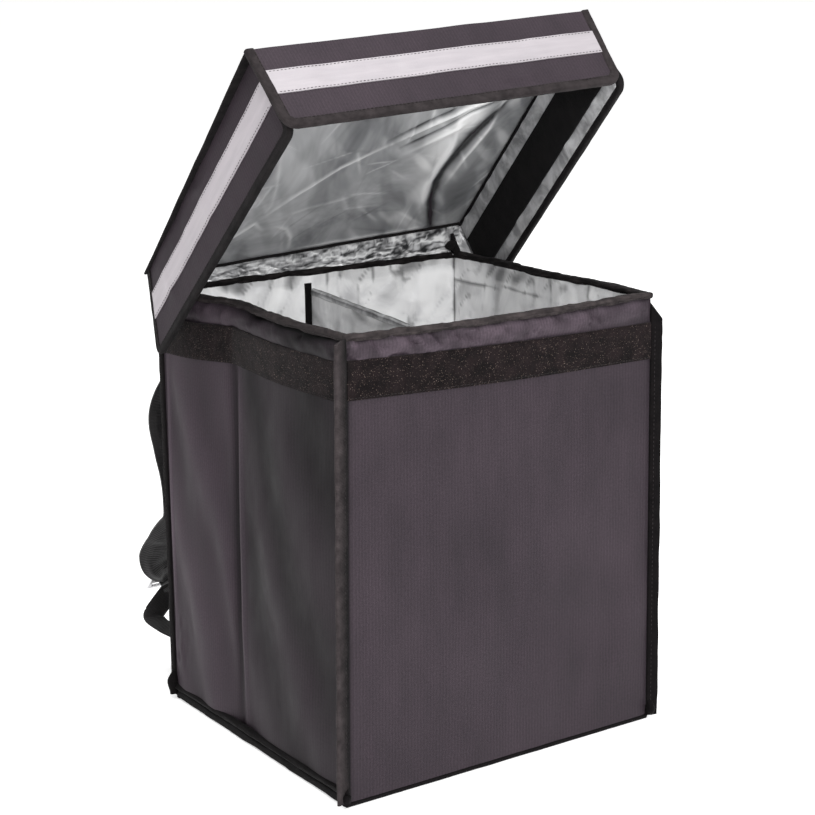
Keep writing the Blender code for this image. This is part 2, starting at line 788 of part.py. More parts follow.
def make_lid():
    slab(
        "lid_panel",
        lid_grid(TOUCH, 0.0, LID_PILLOW, (0.0, SKIRT_FRONT)),
        lid_grid(TOUCH, LID_THICKNESS, 0.0, (0.0, SKIRT_FRONT)),
        "cloth",
    )
    face = LID_THICKNESS + TOUCH
    gap = SEAM_GAP + LINING_THICKNESS
    stretch = (HINGE_THICKNESS, SKIRT_FRONT - LINING_THICKNESS)
    slab(
        "lid_lining",
        lid_grid(gap, face, -LID_PILLOW, stretch),
        lid_grid(gap, face + LINING_THICKNESS, -LID_PILLOW, stretch),
        "foil",
    )
    near = -LID_BINDING_PROUD - TOUCH
    for name, skirt in SIDE_SKIRTS.items():
        rings = []
        for forward in (0.0, *skirt_stations(), SKIRT_FRONT - TOUCH):
            far = -skirt_inset(forward)
            rings.append(
                [
                    skirt_point(skirt, forward, 0.0, near),
                    skirt_point(skirt, forward, 0.0, far),
                    skirt_point(skirt, forward, LID_EDGE_THICKNESS, far),
                    skirt_point(skirt, forward, LID_EDGE_THICKNESS, near),
                ]
            )
        sweep(f"lid_edge_{name}", rings, "binding")


def make_hinge():
    """The cloth strip that joins the lid's rear edge to the body's back rim."""
    half = LID_WIDTH / 2 - skirt_inset(0.0) - SKIRT_THICKNESS - SEAM_GAP
    outer, inner = [], []
    rim_half = BODY_WIDTH / 2 - RIM_ROUNDING
    for share in HINGE_STATIONS:
        top = lid_point(lerp(-half, half, share), -TOUCH, LID_THICKNESS)
        along = 0.5 - lerp(-rim_half, rim_half, share) / BODY_WIDTH
        low = wall_point("back", along, 0.0, BODY_HEIGHT, -RIM_ROUNDING)
        low.z += TOUCH
        thick = Vector((0, HINGE_THICKNESS, 0))
        outer.append([low + thick, top + thick])
        inner.append([low, top])
    slab("lid_hinge", outer, inner, "cloth")


def strap_points(route, side, thickness):
    """The middle line of a strap: an out of zero lies flat on the back panel."""
    points = []
    for point in route:
        share = 0.5 - side * point.across / 2
        spot = wall_point("back", share, 0.0, point.up * BODY_HEIGHT, thickness / 2 + TAPE_GAP)
        points.append(spot + WALLS["back"].outward * STRAP_BOW * point.out)
    return points


def smooth_route(points, steps):
    """A curve through the points, with this many pieces between two of them."""
    route = []
    padded = [2 * points[0] - points[1], *points, 2 * points[-1] - points[-2]]
    for before, here, after, beyond in zip(padded, padded[1:], padded[2:], padded[3:]):
        for step in range(steps):
            t = step / steps
            route.append(
                0.5
                * (
                    2 * here
                    + (after - before) * t
                    + (2 * before - 5 * here + 4 * after - beyond) * t**2
                    + (3 * here - before - 3 * after + beyond) * t**3
                )
            )
    return [*route, points[-1]]


def level_with_panel(ahead):
    """Across a strap that runs down the back panel at a slant."""
    return Vector((-ahead.z, 0, ahead.x))


def level_with_floor(ahead):
    """Across a webbing that turns back under its buckle."""
    return Vector((1, 0, 0)) - ahead * ahead.x


def band(name, route, width, thickness, across, taper=None):
    """A flat band of cloth along a route, with its width in the direction of across."""
    rings = []
    for index, spot in enumerate(route):
        ahead = route[min(index + 1, len(route) - 1)] - route[max(index - 1, 0)]
        ahead.normalize()
        sideways = across(ahead).normalized()
        normal = ahead.cross(sideways) * thickness / 2
        half = width / 2
        if taper:
            half *= taper(index / (len(route) - 1))
        flank = max(half - thickness / 2, half / 2)
        rings.append(
            [
                spot - sideways * flank - normal,
                spot - sideways * half - normal / 3,
                spot - sideways * half + normal / 3,
                spot - sideways * flank + normal,
                spot + sideways * flank + normal,
                spot + sideways * half + normal / 3,
                spot + sideways * half - normal / 3,
                spot + sideways * flank - normal,
            ]
        )
    return sweep(name, rings, "webbing")


def strap_taper(share):
    """Full width down to the last stretch, which narrows towards the buckle."""
    if share < STRAP_TAPER_START:
        return 1.0
    past = (share - STRAP_TAPER_START) / (1 - STRAP_TAPER_START)
    return lerp(1.0, STRAP_END_WIDTH / STRAP_WIDTH, past)


def make_buckle(name, middle, down, across, outward):
    """A flat steel frame with one middle bar and two slots."""
    half_width = WEBBING_WIDTH / 2 + BUCKLE_WALL + TOUCH * 3
    half_length = BUCKLE_LENGTH / 2
    points, faces = [], []
    stops_x = (-half_width, -half_width + BUCKLE_WALL, half_width - BUCKLE_WALL, half_width)
    slot = (BUCKLE_LENGTH - 3 * BUCKLE_WALL) / 2
    stops_y = [-half_length, -half_length + BUCKLE_WALL, -half_length + BUCKLE_WALL + slot]
    stops_y += [-y for y in reversed(stops_y)]
    for depth in (-BUCKLE_THICKNESS / 2, BUCKLE_THICKNESS / 2):
        for y in stops_y:
            points += [middle + across * x + down * y + outward * depth for x in stops_x]
    layer = len(stops_x) * len(stops_y)

    def at(row, column):
        return row * len(stops_x) + column

    holes = {(1, 1), (3, 1)}
    for row in range(len(stops_y) - 1):
        for column in range(len(stops_x) - 1):
            ring = [at(row, column), at(row, column + 1)]
            ring += [at(row + 1, column + 1), at(row + 1, column)]
            if (row, column) not in holes:
                faces.append(tuple(ring))
                faces.append(tuple(layer + p for p in ring))
            edges = list(zip(ring, ring[1:] + ring[:1]))
            beyond = ((row - 1, column), (row, column + 1), (row + 1, column), (row, column - 1))
            for (a, b), (r, c) in zip(edges, beyond):
                solid_here = (row, column) not in holes
                outside = not (0 <= r < len(stops_y) - 1 and 0 <= c < len(stops_x) - 1)
                if solid_here and (outside or (r, c) in holes):
                    faces.append((a, b, layer + b, layer + a))
    return solid(name, points, faces, "steel", smooth=False)


def make_straps():
    for name, side in (("left", -1), ("right", 1)):
        strap_line = strap_points(STRAP_ROUTE, side, STRAP_THICKNESS)
        route = smooth_route(strap_line, 2)
        band(
            f"shoulder_strap_{name}",
            route,
            STRAP_WIDTH,
            STRAP_THICKNESS,
            level_with_panel,
            strap_taper,
        )
        end = route[-1]
        webbing = smooth_route(strap_points(WEBBING_ROUTE, side, WEBBING_THICKNESS), 3)
        down = (end - route[-2]).normalized()
        across = (Vector((1, 0, 0)) - down * down.x).normalized()
        outward = across.cross(down)
        middle = end + down * (BUCKLE_LENGTH / 2 + TOUCH)
        make_buckle(f"strap_buckle_{name}", middle, down, across, outward)
        start = end + down * (BUCKLE_LENGTH + WEBBING_THICKNESS)
        lead = [start, *webbing[1:]]
        band(f"lower_webbing_{name}", lead, WEBBING_WIDTH, WEBBING_THICKNESS, level_with_floor)


def main():
    clear_scene()
    make_base()
    make_foot_bindings()
    make_panels()
    make_corner_bindings()
    make_rim_binding()
    make_hook_tapes()
    make_lining()
    make_divider()
    make_lid()
    make_skirts()
    make_hinge()
    make_straps()


main()
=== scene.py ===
"""The looks of the insulated delivery backpack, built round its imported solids.

Metres, +Z up. The front panel faces -Y. Every piece follows the part's own sizes.
"""

import math

import bmesh
import bpy
import numpy as np
from mathutils import Matrix, Vector


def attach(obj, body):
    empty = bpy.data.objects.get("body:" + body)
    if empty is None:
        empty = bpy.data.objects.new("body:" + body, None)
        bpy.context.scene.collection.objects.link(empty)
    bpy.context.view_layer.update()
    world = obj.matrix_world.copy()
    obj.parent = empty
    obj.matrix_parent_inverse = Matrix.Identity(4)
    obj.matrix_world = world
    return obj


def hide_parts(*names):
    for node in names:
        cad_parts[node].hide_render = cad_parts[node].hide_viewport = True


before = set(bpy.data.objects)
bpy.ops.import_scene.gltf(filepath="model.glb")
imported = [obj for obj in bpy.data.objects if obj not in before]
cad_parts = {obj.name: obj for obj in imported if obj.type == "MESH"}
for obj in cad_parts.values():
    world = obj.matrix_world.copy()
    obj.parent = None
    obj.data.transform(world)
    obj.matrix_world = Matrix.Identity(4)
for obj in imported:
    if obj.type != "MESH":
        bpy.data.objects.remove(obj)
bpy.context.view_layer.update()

# Sizes of the part
BODY_WIDTH = 0.375
BODY_DEPTH = 0.350
BODY_HEIGHT = 0.460
INSIDE = 0.0075
BASE_THICKNESS = 0.016
FLOOR_CLEARANCE = 0.0005
RIM_FOOT = 0.448
RIM_OUT = 0.001
ROLL_TOP = 0.4535
WALL_TOP = ROLL_TOP + 0.002
WALL_CLOTH = 0.0052
BASE_SHARE = 0.962
HOOK_TOP = 0.433
HOOK_BOTTOM = 0.395
TAPE_GAP = 0.0005
TAPE_THICKNESS = 0.0018
ROLL_DEPTH = 0.003
CREASE_SHARPNESS = 1.7
ROLL_ENDING = 0.25
LID_WIDTH = 0.409
LID_DEPTH = 0.345
LID_THICKNESS = 0.008
LID_PILLOW = 0.003
SKIRT_HEIGHT = 0.0955
SKIRT_THICKNESS = 0.005
SKIRT_CORNER = 0.015
SKIRT_TAPER = 0.012
SKIRT_REAR = 0.020
SKIRT_FRONT = 0.3397
EDGE_WIDTH = 0.010
EDGE_THICKNESS = 0.003
STRIPE_TOP = 0.028
STRIPE_WIDTH = 0.028
LOOP_TOP = 0.032
LOOP_WIDTH = 0.044
LID_ANGLE = math.radians(45.1)
LID_YAW = math.radians(-2.1)
LID_TILT = math.radians(-3.7)
HINGE = (0.0025, BODY_DEPTH / 2 + 0.013, BODY_HEIGHT + 0.021)
STRAP_WIDTH = 0.060
STRAP_THICKNESS = 0.010
STRAP_END_SHARE = 0.029 / 0.060
STRAP_TAPER_START = 0.88
STRAP_BOW = 0.080
WEBBING_WIDTH = 0.025
WEBBING_THICKNESS = 0.0016
BUCKLE_LENGTH = 0.026
BUCKLE_WALL = 0.0035
BUCKLE_THICKNESS = 0.0028
DIVIDER_X = -0.009
DIVIDER_THICKNESS = 0.005
DIVIDER_WAVE = 0.003
DIVIDER_DROP_BACK = 0.023
DIVIDER_DROP_FRONT = 0.045
DIVIDER_HEM = 0.008
DIVIDER_RUN = 0.33
DIVIDER_TAPE = 0.0085
SEAM = 0.0003
LID_SEAM_DEPTH = 0.0115
BANDS_PER_SCALE = 3.183
FLOOR_REACH = 60.0
FLOOR_GLOW = 0.5
WORLD_LIGHT = 0.55
CAMERA_PLACE = (-1.2535, -1.894, 0.868)
CAMERA_TURN = (33.56, 13.25, -0.86)
FOCAL_PIXELS, PICTURE_PIXELS, SENSOR_MM = 2243, 815, 36

# side, end, foot x, foot y, rim x, rim y, rim z
CORNERS = {
    "front_left": (-1, -1, -0.023, -0.029, 0.019, 0.004, 0.0),
    "front_right": (1, -1, 0.002, 0.016, -0.006, 0.003, -0.001),
    "back_right": (1, 1, 0.0, 0.0, -0.002, -0.003, -0.005),
    "back_left": (-1, 1, 0.003, 0.011, -0.003, -0.002, -0.004),
}
# start, end, outward, crown, crease at foot and rim, its place at foot and rim, sag, roll
WALLS = {
    "front": ("front_left", "front_right", (0, -1, 0), 0.006, 0, 0, 0.5, 0.5, 0.0065, 1),
    "right": ("front_right", "back_right", (1, 0, 0), 0.012, 0.010, 0.010, 0.5, 0.5, 0, 1),
    "back": ("back_right", "back_left", (0, 1, 0), 0, 0, 0, 0.5, 0.5, 0, 0),
    "left": ("back_left", "front_left", (-1, 0, 0), 0.012, 0.014, 0.045, 0.40, 0.345, 0, 1),
}
# across, out, up
STRAP_ROUTE = (
    (0.36, 0.00, 0.930),
    (0.42, 0.012, 0.885),
    (0.58, 0.13, 0.825),
    (0.75, 0.31, 0.755),
    (0.84, 0.42, 0.680),
    (0.84, 0.33, 0.605),
    (0.83, 0.22, 0.540),
    (0.83, 0.16, 0.480),
    (0.83, 0.22, 0.425),
    (0.87, 0.48, 0.365),
    (0.89, 0.74, 0.305),
    (0.82, 0.92, 0.255),
)
WEBBING_ROUTE = (
    (0.87, 1.10, 0.165),
    (0.90, 1.04, 0.142),
    (0.88, 0.72, 0.128),
    (0.84, 0.40, 0.118),
    (0.82, 0.30, 0.100),
    (0.82, 0.12, 0.101),
    (0.82, 0.03, 0.112),
    (0.82, 0.004, 0.130),
    (0.82, 0.00, 0.155),
)
# corner, top, radius
FOOT_KNOTS = (
    ("front_left", 0.020, 0.0052),
    ("back_left", 0.032, 0.0062),
    ("front_right", 0.022, 0.0046),
)


# Small sums on arrays


def mix(first, last, share):
    return first + (last - first) * share


def step(x, low, high):
    share = np.clip((x - low) / (high - low), 0, 1)
    return share * share * (3 - 2 * share)


def bell(x, middle, width):
    return np.exp(-(((x - middle) / width) ** 2))


def unit(ways):
    return ways / np.linalg.norm(ways, axis=-1, keepdims=True)


def run_along(spots):
    """The length of a line up to each of its points."""
    steps = np.linalg.norm(np.diff(np.asarray(spots, float), axis=0), axis=1)
    return np.concatenate([[0], np.cumsum(steps)])


LATTICE = np.random.default_rng(11).random((128, 128))


def noise(x, y, seed=0):
    """Smooth noise from -1 to 1, with one wave to each unit of x and y."""
    x, y = np.broadcast_arrays(x + seed * 17.13, y + seed * 9.71)
    i, j = np.floor(x).astype(int), np.floor(y).astype(int)
    s, t = x - i, y - j
    s, t = s * s * (3 - 2 * s), t * t * (3 - 2 * t)

    def at(a, b):
        return LATTICE[a % 128, b % 128]

    low = mix(at(i, j), at(i + 1, j), s)
    return mix(low, mix(at(i, j + 1), at(i + 1, j + 1), s), t) * 2 - 1


def fractal(x, y, seed=0, octaves=3):
    total = 0
    for octave in range(octaves):
        scale = 2**octave
        total += noise(x * scale, y * scale, seed + octave) / scale
    return total


def along_line(x, y, points):
    """Distance from a bent line, and how far along it the nearest place is, from 0 to 1."""
    points = np.array(points, float)
    lengths = np.linalg.norm(np.diff(points, axis=0), axis=1)
    ends = np.concatenate([[0], np.cumsum(lengths)])
    nearest = np.full(np.broadcast(x, y).shape, 1e9)
    share = np.zeros_like(nearest)
    for (x0, y0), (x1, y1), start, length in zip(points, points[1:], ends, lengths):
        t = np.clip(((x - x0) * (x1 - x0) + (y - y0) * (y1 - y0)) / length**2, 0, 1)
        distance = np.hypot(x - x0 - t * (x1 - x0), y - y0 - t * (y1 - y0))
        closer = distance < nearest
        nearest = np.where(closer, distance, nearest)
        share = np.where(closer, (start + t * length) / ends[-1], share)
    return nearest, share


def ridge(x, y, points, width, sharp=2.0):
    """A ridge of height 1 along a bent line, which fades towards both ends."""
    distance, share = along_line(x, y, points)
    return np.exp(-((distance / width) ** sharp)) * np.sin(np.pi * np.clip(share, 0.02, 0.98)) ** 0.5


def veins(x, y, seed, width=0.2):
    """Thin bent lines of height 1 where smooth noise passes through zero."""
    return np.clip(1 - np.abs(noise(x, y, seed)) / width, 0, 1)


def crumple(x, y, seed, count, length, width):
    """Straight sharp folds, strewn evenly, each between -1 and 1 high."""
    draw = np.random.default_rng(seed)
    left, right, low, high = x.min(), x.max(), y.min(), y.max()
    total = np.zeros_like(x)
    for _ in range(count):
        at_x, at_y = mix(left, right, draw.random()), mix(low, high, draw.random())
        angle = draw.random() * math.pi
        half = length * mix(0.3, 0.6, draw.random())
        wide = width * mix(0.5, 1.5, draw.random())
        height = mix(-1, 1, draw.random())
        across = (x - at_x) * math.sin(angle) - (y - at_y) * math.cos(angle)
        along = (x - at_x) * math.cos(angle) + (y - at_y) * math.sin(angle)
        fade = np.clip(1 - (along / half) ** 2, 0, 1)
        total += height * np.clip(1 - (across / wide) ** 2, 0, 1) ** 2 * fade
    return total


# Places on the part


def corner_at(name, z):
    side, end, foot_x, foot_y, rim_x, rim_y, rim_z = CORNERS[name]
    up = z / BODY_HEIGHT
    x = side * BODY_WIDTH / 2 + BODY_WIDTH * mix(foot_x, rim_x, up)
    y = end * BODY_DEPTH / 2 + BODY_DEPTH * mix(foot_y, rim_y, up)
    return np.stack([x, y, z * (1 + rim_z)], -1)


def wall_at(wall, share, z, out=0.0, inset=0.0):
    """Places on a wall: a share of its run plus an inset, at a height, this far out."""
    share, z, out, inset = np.broadcast_arrays(share, z, out, inset)
    first, last, outward, crown, foot, rim, middle_foot, middle_rim, sag, roll = WALLS[wall]
    start, end = corner_at(first, z), corner_at(last, z)
    step_in = inset / np.linalg.norm(end - start, axis=-1)
    along = np.clip(share + step_in, 0, 1)
    up = z / BODY_HEIGHT
    middle = mix(middle_foot, middle_rim, up)
    beyond = middle + (2 * share - 1) * (1 - middle)
    run = np.where(share < 0.5, 2 * middle * share, beyond) + step_in
    fold = (1 - np.abs(2 * along - 1)) ** CREASE_SHARPNESS
    inward = BODY_DEPTH * mix(foot, rim, up) * fold
    if rim:
        swell = BODY_DEPTH * crown * np.sin(2 * np.pi * along) ** 2
    else:
        swell = BODY_DEPTH * crown * np.sin(np.pi * along) ** 2 * np.sin(np.pi * np.clip(up, 0, 1))
    rolled = np.clip((z - HOOK_TOP) / (ROLL_TOP - HOOK_TOP), 0, 1)
    bump = ROLL_DEPTH * np.sin(np.pi * rolled) * roll * np.sin(np.pi * along) ** ROLL_ENDING
    reach = out + swell - inward + np.where(out > -0.0005, bump, 0)
    spot = start + (end - start) * run[..., None] + np.array(outward, float) * reach[..., None]
    spot[..., 2] -= BODY_HEIGHT * sag * np.sin(np.pi * along) * np.clip(up, 0, 2) ** 3
    return spot


def level_at(across, along, height):
    """Places on a level sheet that reaches to the four corners."""
    z = np.full(across.shape, float(height))
    front = mix(corner_at("front_left", z), corner_at("front_right", z), across[..., None])
    rear = mix(corner_at("back_left", z), corner_at("back_right", z), across[..., None])
    return mix(front, rear, along[..., None])


def run_length(wall):
    first, last = WALLS[wall][:2]
    middle = BODY_HEIGHT / 2
    return float(np.linalg.norm(corner_at(last, middle) - corner_at(first, middle)))


def lid_frame():
    up = Vector((0, 0, 1))
    level = Vector((math.sin(LID_YAW), -math.cos(LID_YAW), 0))
    flat_across = Vector((math.cos(LID_YAW), math.sin(LID_YAW), 0))
    forward = level * math.cos(LID_ANGLE) + up * math.sin(LID_ANGLE)
    flat_inward = level * math.sin(LID_ANGLE) - up * math.cos(LID_ANGLE)
    across = flat_across * math.cos(LID_TILT) + flat_inward * math.sin(LID_TILT)
    inward = flat_inward * math.cos(LID_TILT) - flat_across * math.sin(LID_TILT)
    return [np.array(v) for v in (HINGE, across, forward, inward)]


LID_HINGE, LID_ACROSS, LID_FORWARD, LID_INWARD = lid_frame()


def lid_at(a, f, n):
    a, f, n = (np.asarray(v)[..., None] for v in np.broadcast_arrays(a, f, n))
    return LID_HINGE + LID_ACROSS * a + LID_FORWARD * f + LID_INWARD * n


def skirt_inset(f):
    return mix(0.004, 0.010, f / LID_DEPTH)


def front_skirt_at(a, n, depth):
    return lid_at(a, LID_DEPTH - depth, n)


def left_skirt_at(f, n, depth):
    lean = mix(0.022, 0.002, f / SKIRT_FRONT)
    return lid_at(-(LID_WIDTH / 2 - skirt_inset(f) + lean * n / SKIRT_HEIGHT - depth), f, n)


def right_skirt_at(f, n, depth):
    lean = mix(0.004, 0.007, f / SKIRT_FRONT)
    return lid_at(LID_WIDTH / 2 - skirt_inset(f) + lean * n / SKIRT_HEIGHT - depth, f, n)


def rounding(n):
    """How far a skirt's end draws in near its rounded lower corner."""
    near = np.clip(SKIRT_CORNER - (SKIRT_HEIGHT - n), 0, SKIRT_CORNER)
    return SKIRT_CORNER - np.sqrt(SKIRT_CORNER**2 - near**2)


def side_ends(n):
    return -SKIRT_REAR * n / SKIRT_HEIGHT + rounding(n), SKIRT_FRONT - rounding(n)


def front_ends(n):
    half = LID_WIDTH / 2
    return -half + rounding(n), half - SKIRT_TAPER * n / SKIRT_HEIGHT - rounding(n)


SKIRTS = {
    "front": (front_skirt_at, front_ends),
    "left": (left_skirt_at, side_ends),
    "right": (right_skirt_at, side_ends),
}

# Meshes from rows of points


def faces_between(rows, columns, around, closed):
    r = np.arange(rows if closed else rows - 1)
    c = np.arange(columns if around else columns - 1)
    r, c = np.meshgrid(r, c, indexing="ij")
    after, beside = (r + 1) % rows, (c + 1) % columns
    corners = [r * columns + c, r * columns + beside, after * columns + beside, after * columns + c]
    return np.stack(corners, -1).reshape(-1, 4).tolist()


def tube(points, uv, closed=False):
    """A body through rings of points, with flat ends unless it is closed."""
    rows, columns = points.shape[:2]
    faces = faces_between(rows, columns, True, closed)
    if not closed:
        faces.append(list(range(columns)))
        faces.append([rows * columns - columns + c for c in range(columns)])
    return points.reshape(-1, 3), faces, uv.reshape(-1, 2)


def uv_of(x, y):
    return np.stack(np.broadcast_arrays(x, y), -1)


def slab(front, back, uv):
    """A sheet between two grids of points."""
    rows, columns = front.shape[:2]
    points = np.concatenate([front, back[:, ::-1]], axis=1)
    both = np.concatenate([uv, uv[:, ::-1]], axis=1)
    faces = faces_between(rows, 2 * columns, True, False)
    for row in (0, (rows - 1) * 2 * columns):
        for c in range(columns - 1):
            faces.append([row + c, row + c + 1, row + 2 * columns - 2 - c, row + 2 * columns - 1 - c])
    return points.reshape(-1, 3), faces, both.reshape(-1, 2)


def piece(name, parts, look, stands_for=(), tones=None, sharp=50):
    """One mesh object of several bodies, which rides on the part."""
    points, faces, uvs, start = [], [], [], 0
    for part_points, part_faces, part_uv in parts:
        points.append(part_points)
        uvs.append(part_uv)
        faces += [[start + corner for corner in face] for face in part_faces]
        start += len(part_points)
    points, uvs = np.concatenate(points), np.concatenate(uvs)
    mesh = bpy.data.meshes.new(name)
    mesh.from_pydata(points.tolist(), [], faces)
    shape = bmesh.new()
    shape.from_mesh(mesh)
    bmesh.ops.recalc_face_normals(shape, faces=shape.faces)
    shape.to_mesh(mesh)
    shape.free()
    corners = np.empty(len(mesh.loops), int)
    mesh.loops.foreach_get("vertex_index", corners)
    layer = mesh.uv_layers.new(name="metres")
    layer.data.foreach_set("uv", uvs[corners].astype(np.float32).ravel())
    # The tone attribute holds painted light and shade, with some random variation, for the looks to scale
    # their colour by.
    if tones is not None:
        tone = mesh.attributes.new("tone", "FLOAT", "POINT")
        tone.data.foreach_set("value", np.asarray(tones, np.float32).ravel())
    mesh.materials.append(look)
    mesh.shade_smooth()
    mesh.set_sharp_from_angle(angle=math.radians(sharp))
    made = bpy.data.objects.new(name, mesh)
    bpy.context.scene.collection.objects.link(made)
    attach(made, "root")
    if stands_for:
        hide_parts(*stands_for)
    return made


def sheet_on(place, x, y, near, far):
    """A sheet on a surface, between two depths."""
    return slab(place(x, y, near), place(x, y, far), uv_of(x, y))


def both_sides(values):
    """The same value on the front and back grids of a slab."""
    return np.concatenate([values, values[:, ::-1]], axis=1)


# Materials


class Look:
    """A node material, with short calls for the nodes that every look here uses."""

    def __init__(self, name, roughness, metallic=0.0, sheen=0.0, specular=0.5):
        self.material = bpy.data.materials.new(name)
        self.material.use_nodes = True
        self.nodes = self.material.node_tree.nodes
        self.links = self.material.node_tree.links
        self.shader = self.nodes["Principled BSDF"]
        self.shader.inputs["Roughness"].default_value = roughness
        self.shader.inputs["Metallic"].default_value = metallic
        self.shader.inputs["Sheen Weight"].default_value = sheen
        self.shader.inputs["Sheen Roughness"].default_value = 0.5
        self.shader.inputs["Specular IOR Level"].default_value = specular
        self.uv = self.nodes.new("ShaderNodeUVMap").outputs[0]
        self.place = self.nodes.new("ShaderNodeTexCoord").outputs["Object"]

    def put(self, socket, value):
        if hasattr(value, "is_linked"):
            self.links.new(value, socket)
        else:
            socket.default_value = value

    def node(self, kind, inputs, **settings):
        made = self.nodes.new(kind)
        for key, value in settings.items():
            setattr(made, key, value)
        for key, value in inputs.items():
            self.put(made.inputs[key], value)
        return made

    def math(self, operation, first, second=0.0):
        return self.node("ShaderNodeMath", {0: first, 1: second}, operation=operation).outputs[0]

    def total(self, first, share, second, other):
        """The sum of two values, each times its share."""
        return self.math("ADD", self.math("MULTIPLY", first, share), self.math("MULTIPLY", second, other))

    def ramp(self, value, low, high, first=0.0, last=1.0):
        """Value from low to high, turned into first to last."""
        keys = {"Value": value, "From Min": low, "From Max": high, "To Min": first, "To Max": last}
        return self.node("ShaderNodeMapRange", keys).outputs[0]

    def blend(self, share, first, last):
        made = self.nodes.new("ShaderNodeMix")
        made.data_type = "RGBA"
        self.put(made.inputs[0], share)
        self.put(made.inputs[6], first if hasattr(first, "is_linked") else (*first, 1))
        self.put(made.inputs[7], last if hasattr(last, "is_linked") else (*last, 1))
        return made.outputs[2]

    def stretch(self, source, x, y, z=1.0, turn=0.0):
        keys = {"Vector": source, "Scale": (x, y, z), "Rotation": (0, 0, turn)}
        return self.node("ShaderNodeMapping", keys).outputs[0]

    def noise(self, source, scale, detail=3.0, roughness=0.5, distortion=0.0):
        keys = {
            "Vector": source,
            "Scale": scale,
            "Detail": detail,
            "Roughness": roughness,
            "Distortion": distortion,
        }
        return self.node("ShaderNodeTexNoise", keys).outputs[0]

    def wave(self, scale, axis, distortion=0.0):
        """Ridges across one axis of the cloth, this many to a metre."""
        keys = {"Vector": self.uv, "Scale": scale / BANDS_PER_SCALE, "Distortion": distortion}
        return self.node("ShaderNodeTexWave", keys, bands_direction=axis).outputs[1]

    def cells(self, scale):
        return self.node("ShaderNodeTexVoronoi", {"Vector": self.uv, "Scale": scale}).outputs[0]

    def tone(self):
        return self.node("ShaderNodeAttribute", {}, attribute_name="tone").outputs["Fac"]

    def bump(self, height, distance, strength=1.0):
        before = self.shader.inputs["Normal"]
        keys = {"Height": height, "Distance": distance, "Strength": strength}
        if before.is_linked:
            keys["Normal"] = before.links[0].from_socket
        made = self.node("ShaderNodeBump", keys)
        self.links.new(made.outputs[0], before)

    def scaled(self, colour, by):
        return self.node("ShaderNodeVectorMath", {0: colour, 3: by}, operation="SCALE").outputs[0]

    def colour(self, value):
        self.put(self.shader.inputs["Base Color"], value)

    def rough(self, value):
        self.put(self.shader.inputs["Roughness"], value)


def linear(*shades):
    """The linear colour of three values from 0 to 255."""
    shares = [shade / 255 for shade in shades]
    return tuple(s / 12.92 if s < 0.04 else ((s + 0.055) / 1.055) ** 2.4 for s in shares)


def cloth_look(name, dark, light, ribs=520, rib_depth=0.00012):
    """Coated nylon with a fine weave, faint ribs and soft mottling."""
    look = Look(name, 0.6, specular=0.1)
    warp = look.wave(ribs, "X", 0.6)
    weft = look.wave(ribs * 1.3, "Y", 0.6)
    weave = look.total(warp, 0.65, weft, 0.35)
    mottle = look.noise(look.stretch(look.uv, 1, 0.35), 42, 4, 0.6)
    broad = look.noise(look.uv, 7, 2)
    share = look.total(mottle, 0.45, broad, 0.55)
    base = look.blend(look.ramp(share, 0.32, 0.68), dark, light)
    woven = look.blend(look.ramp(weave, 0.0, 0.5, 0.3, 0.0), base, tuple(c * 0.6 for c in dark))
    stripes = look.ramp(look.wave(270, "X", 2.5), 0.0, 1.0, 0.9, 1.07)
    grain = look.ramp(look.noise(look.uv, 420, 2, 0.7), 0.3, 0.7, 0.86, 1.14)
    stripes = look.math("MULTIPLY", stripes, grain)
    # The tone attribute scales the colour: painted light and shade.
    look.colour(look.scaled(woven, look.math("MULTIPLY", stripes, look.math("ADD", look.tone(), 1.0))))
    look.rough(look.ramp(mottle, 0.3, 0.7, 0.48, 0.66))
    look.bump(broad, 0.0012, 0.5)
    look.bump(weave, rib_depth, 0.5)
    return look.material


def binding_look(name, dark, light):
    """Woven edging tape with a fine rib across it."""
    look = Look(name, 0.8, sheen=0.02, specular=0.08)
    rib = look.wave(700, "X", 0.4)
    cross = look.wave(900, "Y", 0.4)
    mottle = look.noise(look.uv, 90, 4, 0.6)
    base = look.blend(look.ramp(mottle, 0.35, 0.65), dark, light)
    ribbed = look.blend(look.ramp(rib, 0.2, 0.8, 0.35, 0.0), base, tuple(c * 0.5 for c in dark))
    # The tone attribute scales the colour: painted light and shade.
    look.colour(look.scaled(ribbed, look.math("ADD", look.tone(), 1.0)))
    look.bump(look.math("ADD", rib, look.math("MULTIPLY", cross, 0.6)), 0.0002, 0.6)
    look.bump(mottle, 0.0006, 0.5)
    return look.material


def pile_look(name, dark, light, speck):
    """Hook and loop tape: a dense nap with tiny bright specks."""
    look = Look(name, 0.95, sheen=0.05, specular=0.08)
    nap = look.noise(look.uv, 900, 3, 0.7)
    patch = look.noise(look.uv, 60, 3, 0.5)
    points = look.cells(620)
    base = look.blend(look.ramp(patch, 0.35, 0.65), dark, light)
    spots = look.math("MULTIPLY", look.ramp(points, 0.34, 0.14), look.ramp(nap, 0.52, 0.62))
    look.colour(look.blend(spots, base, speck))
    look.bump(nap, 0.0008, 0.8)
    return look.material


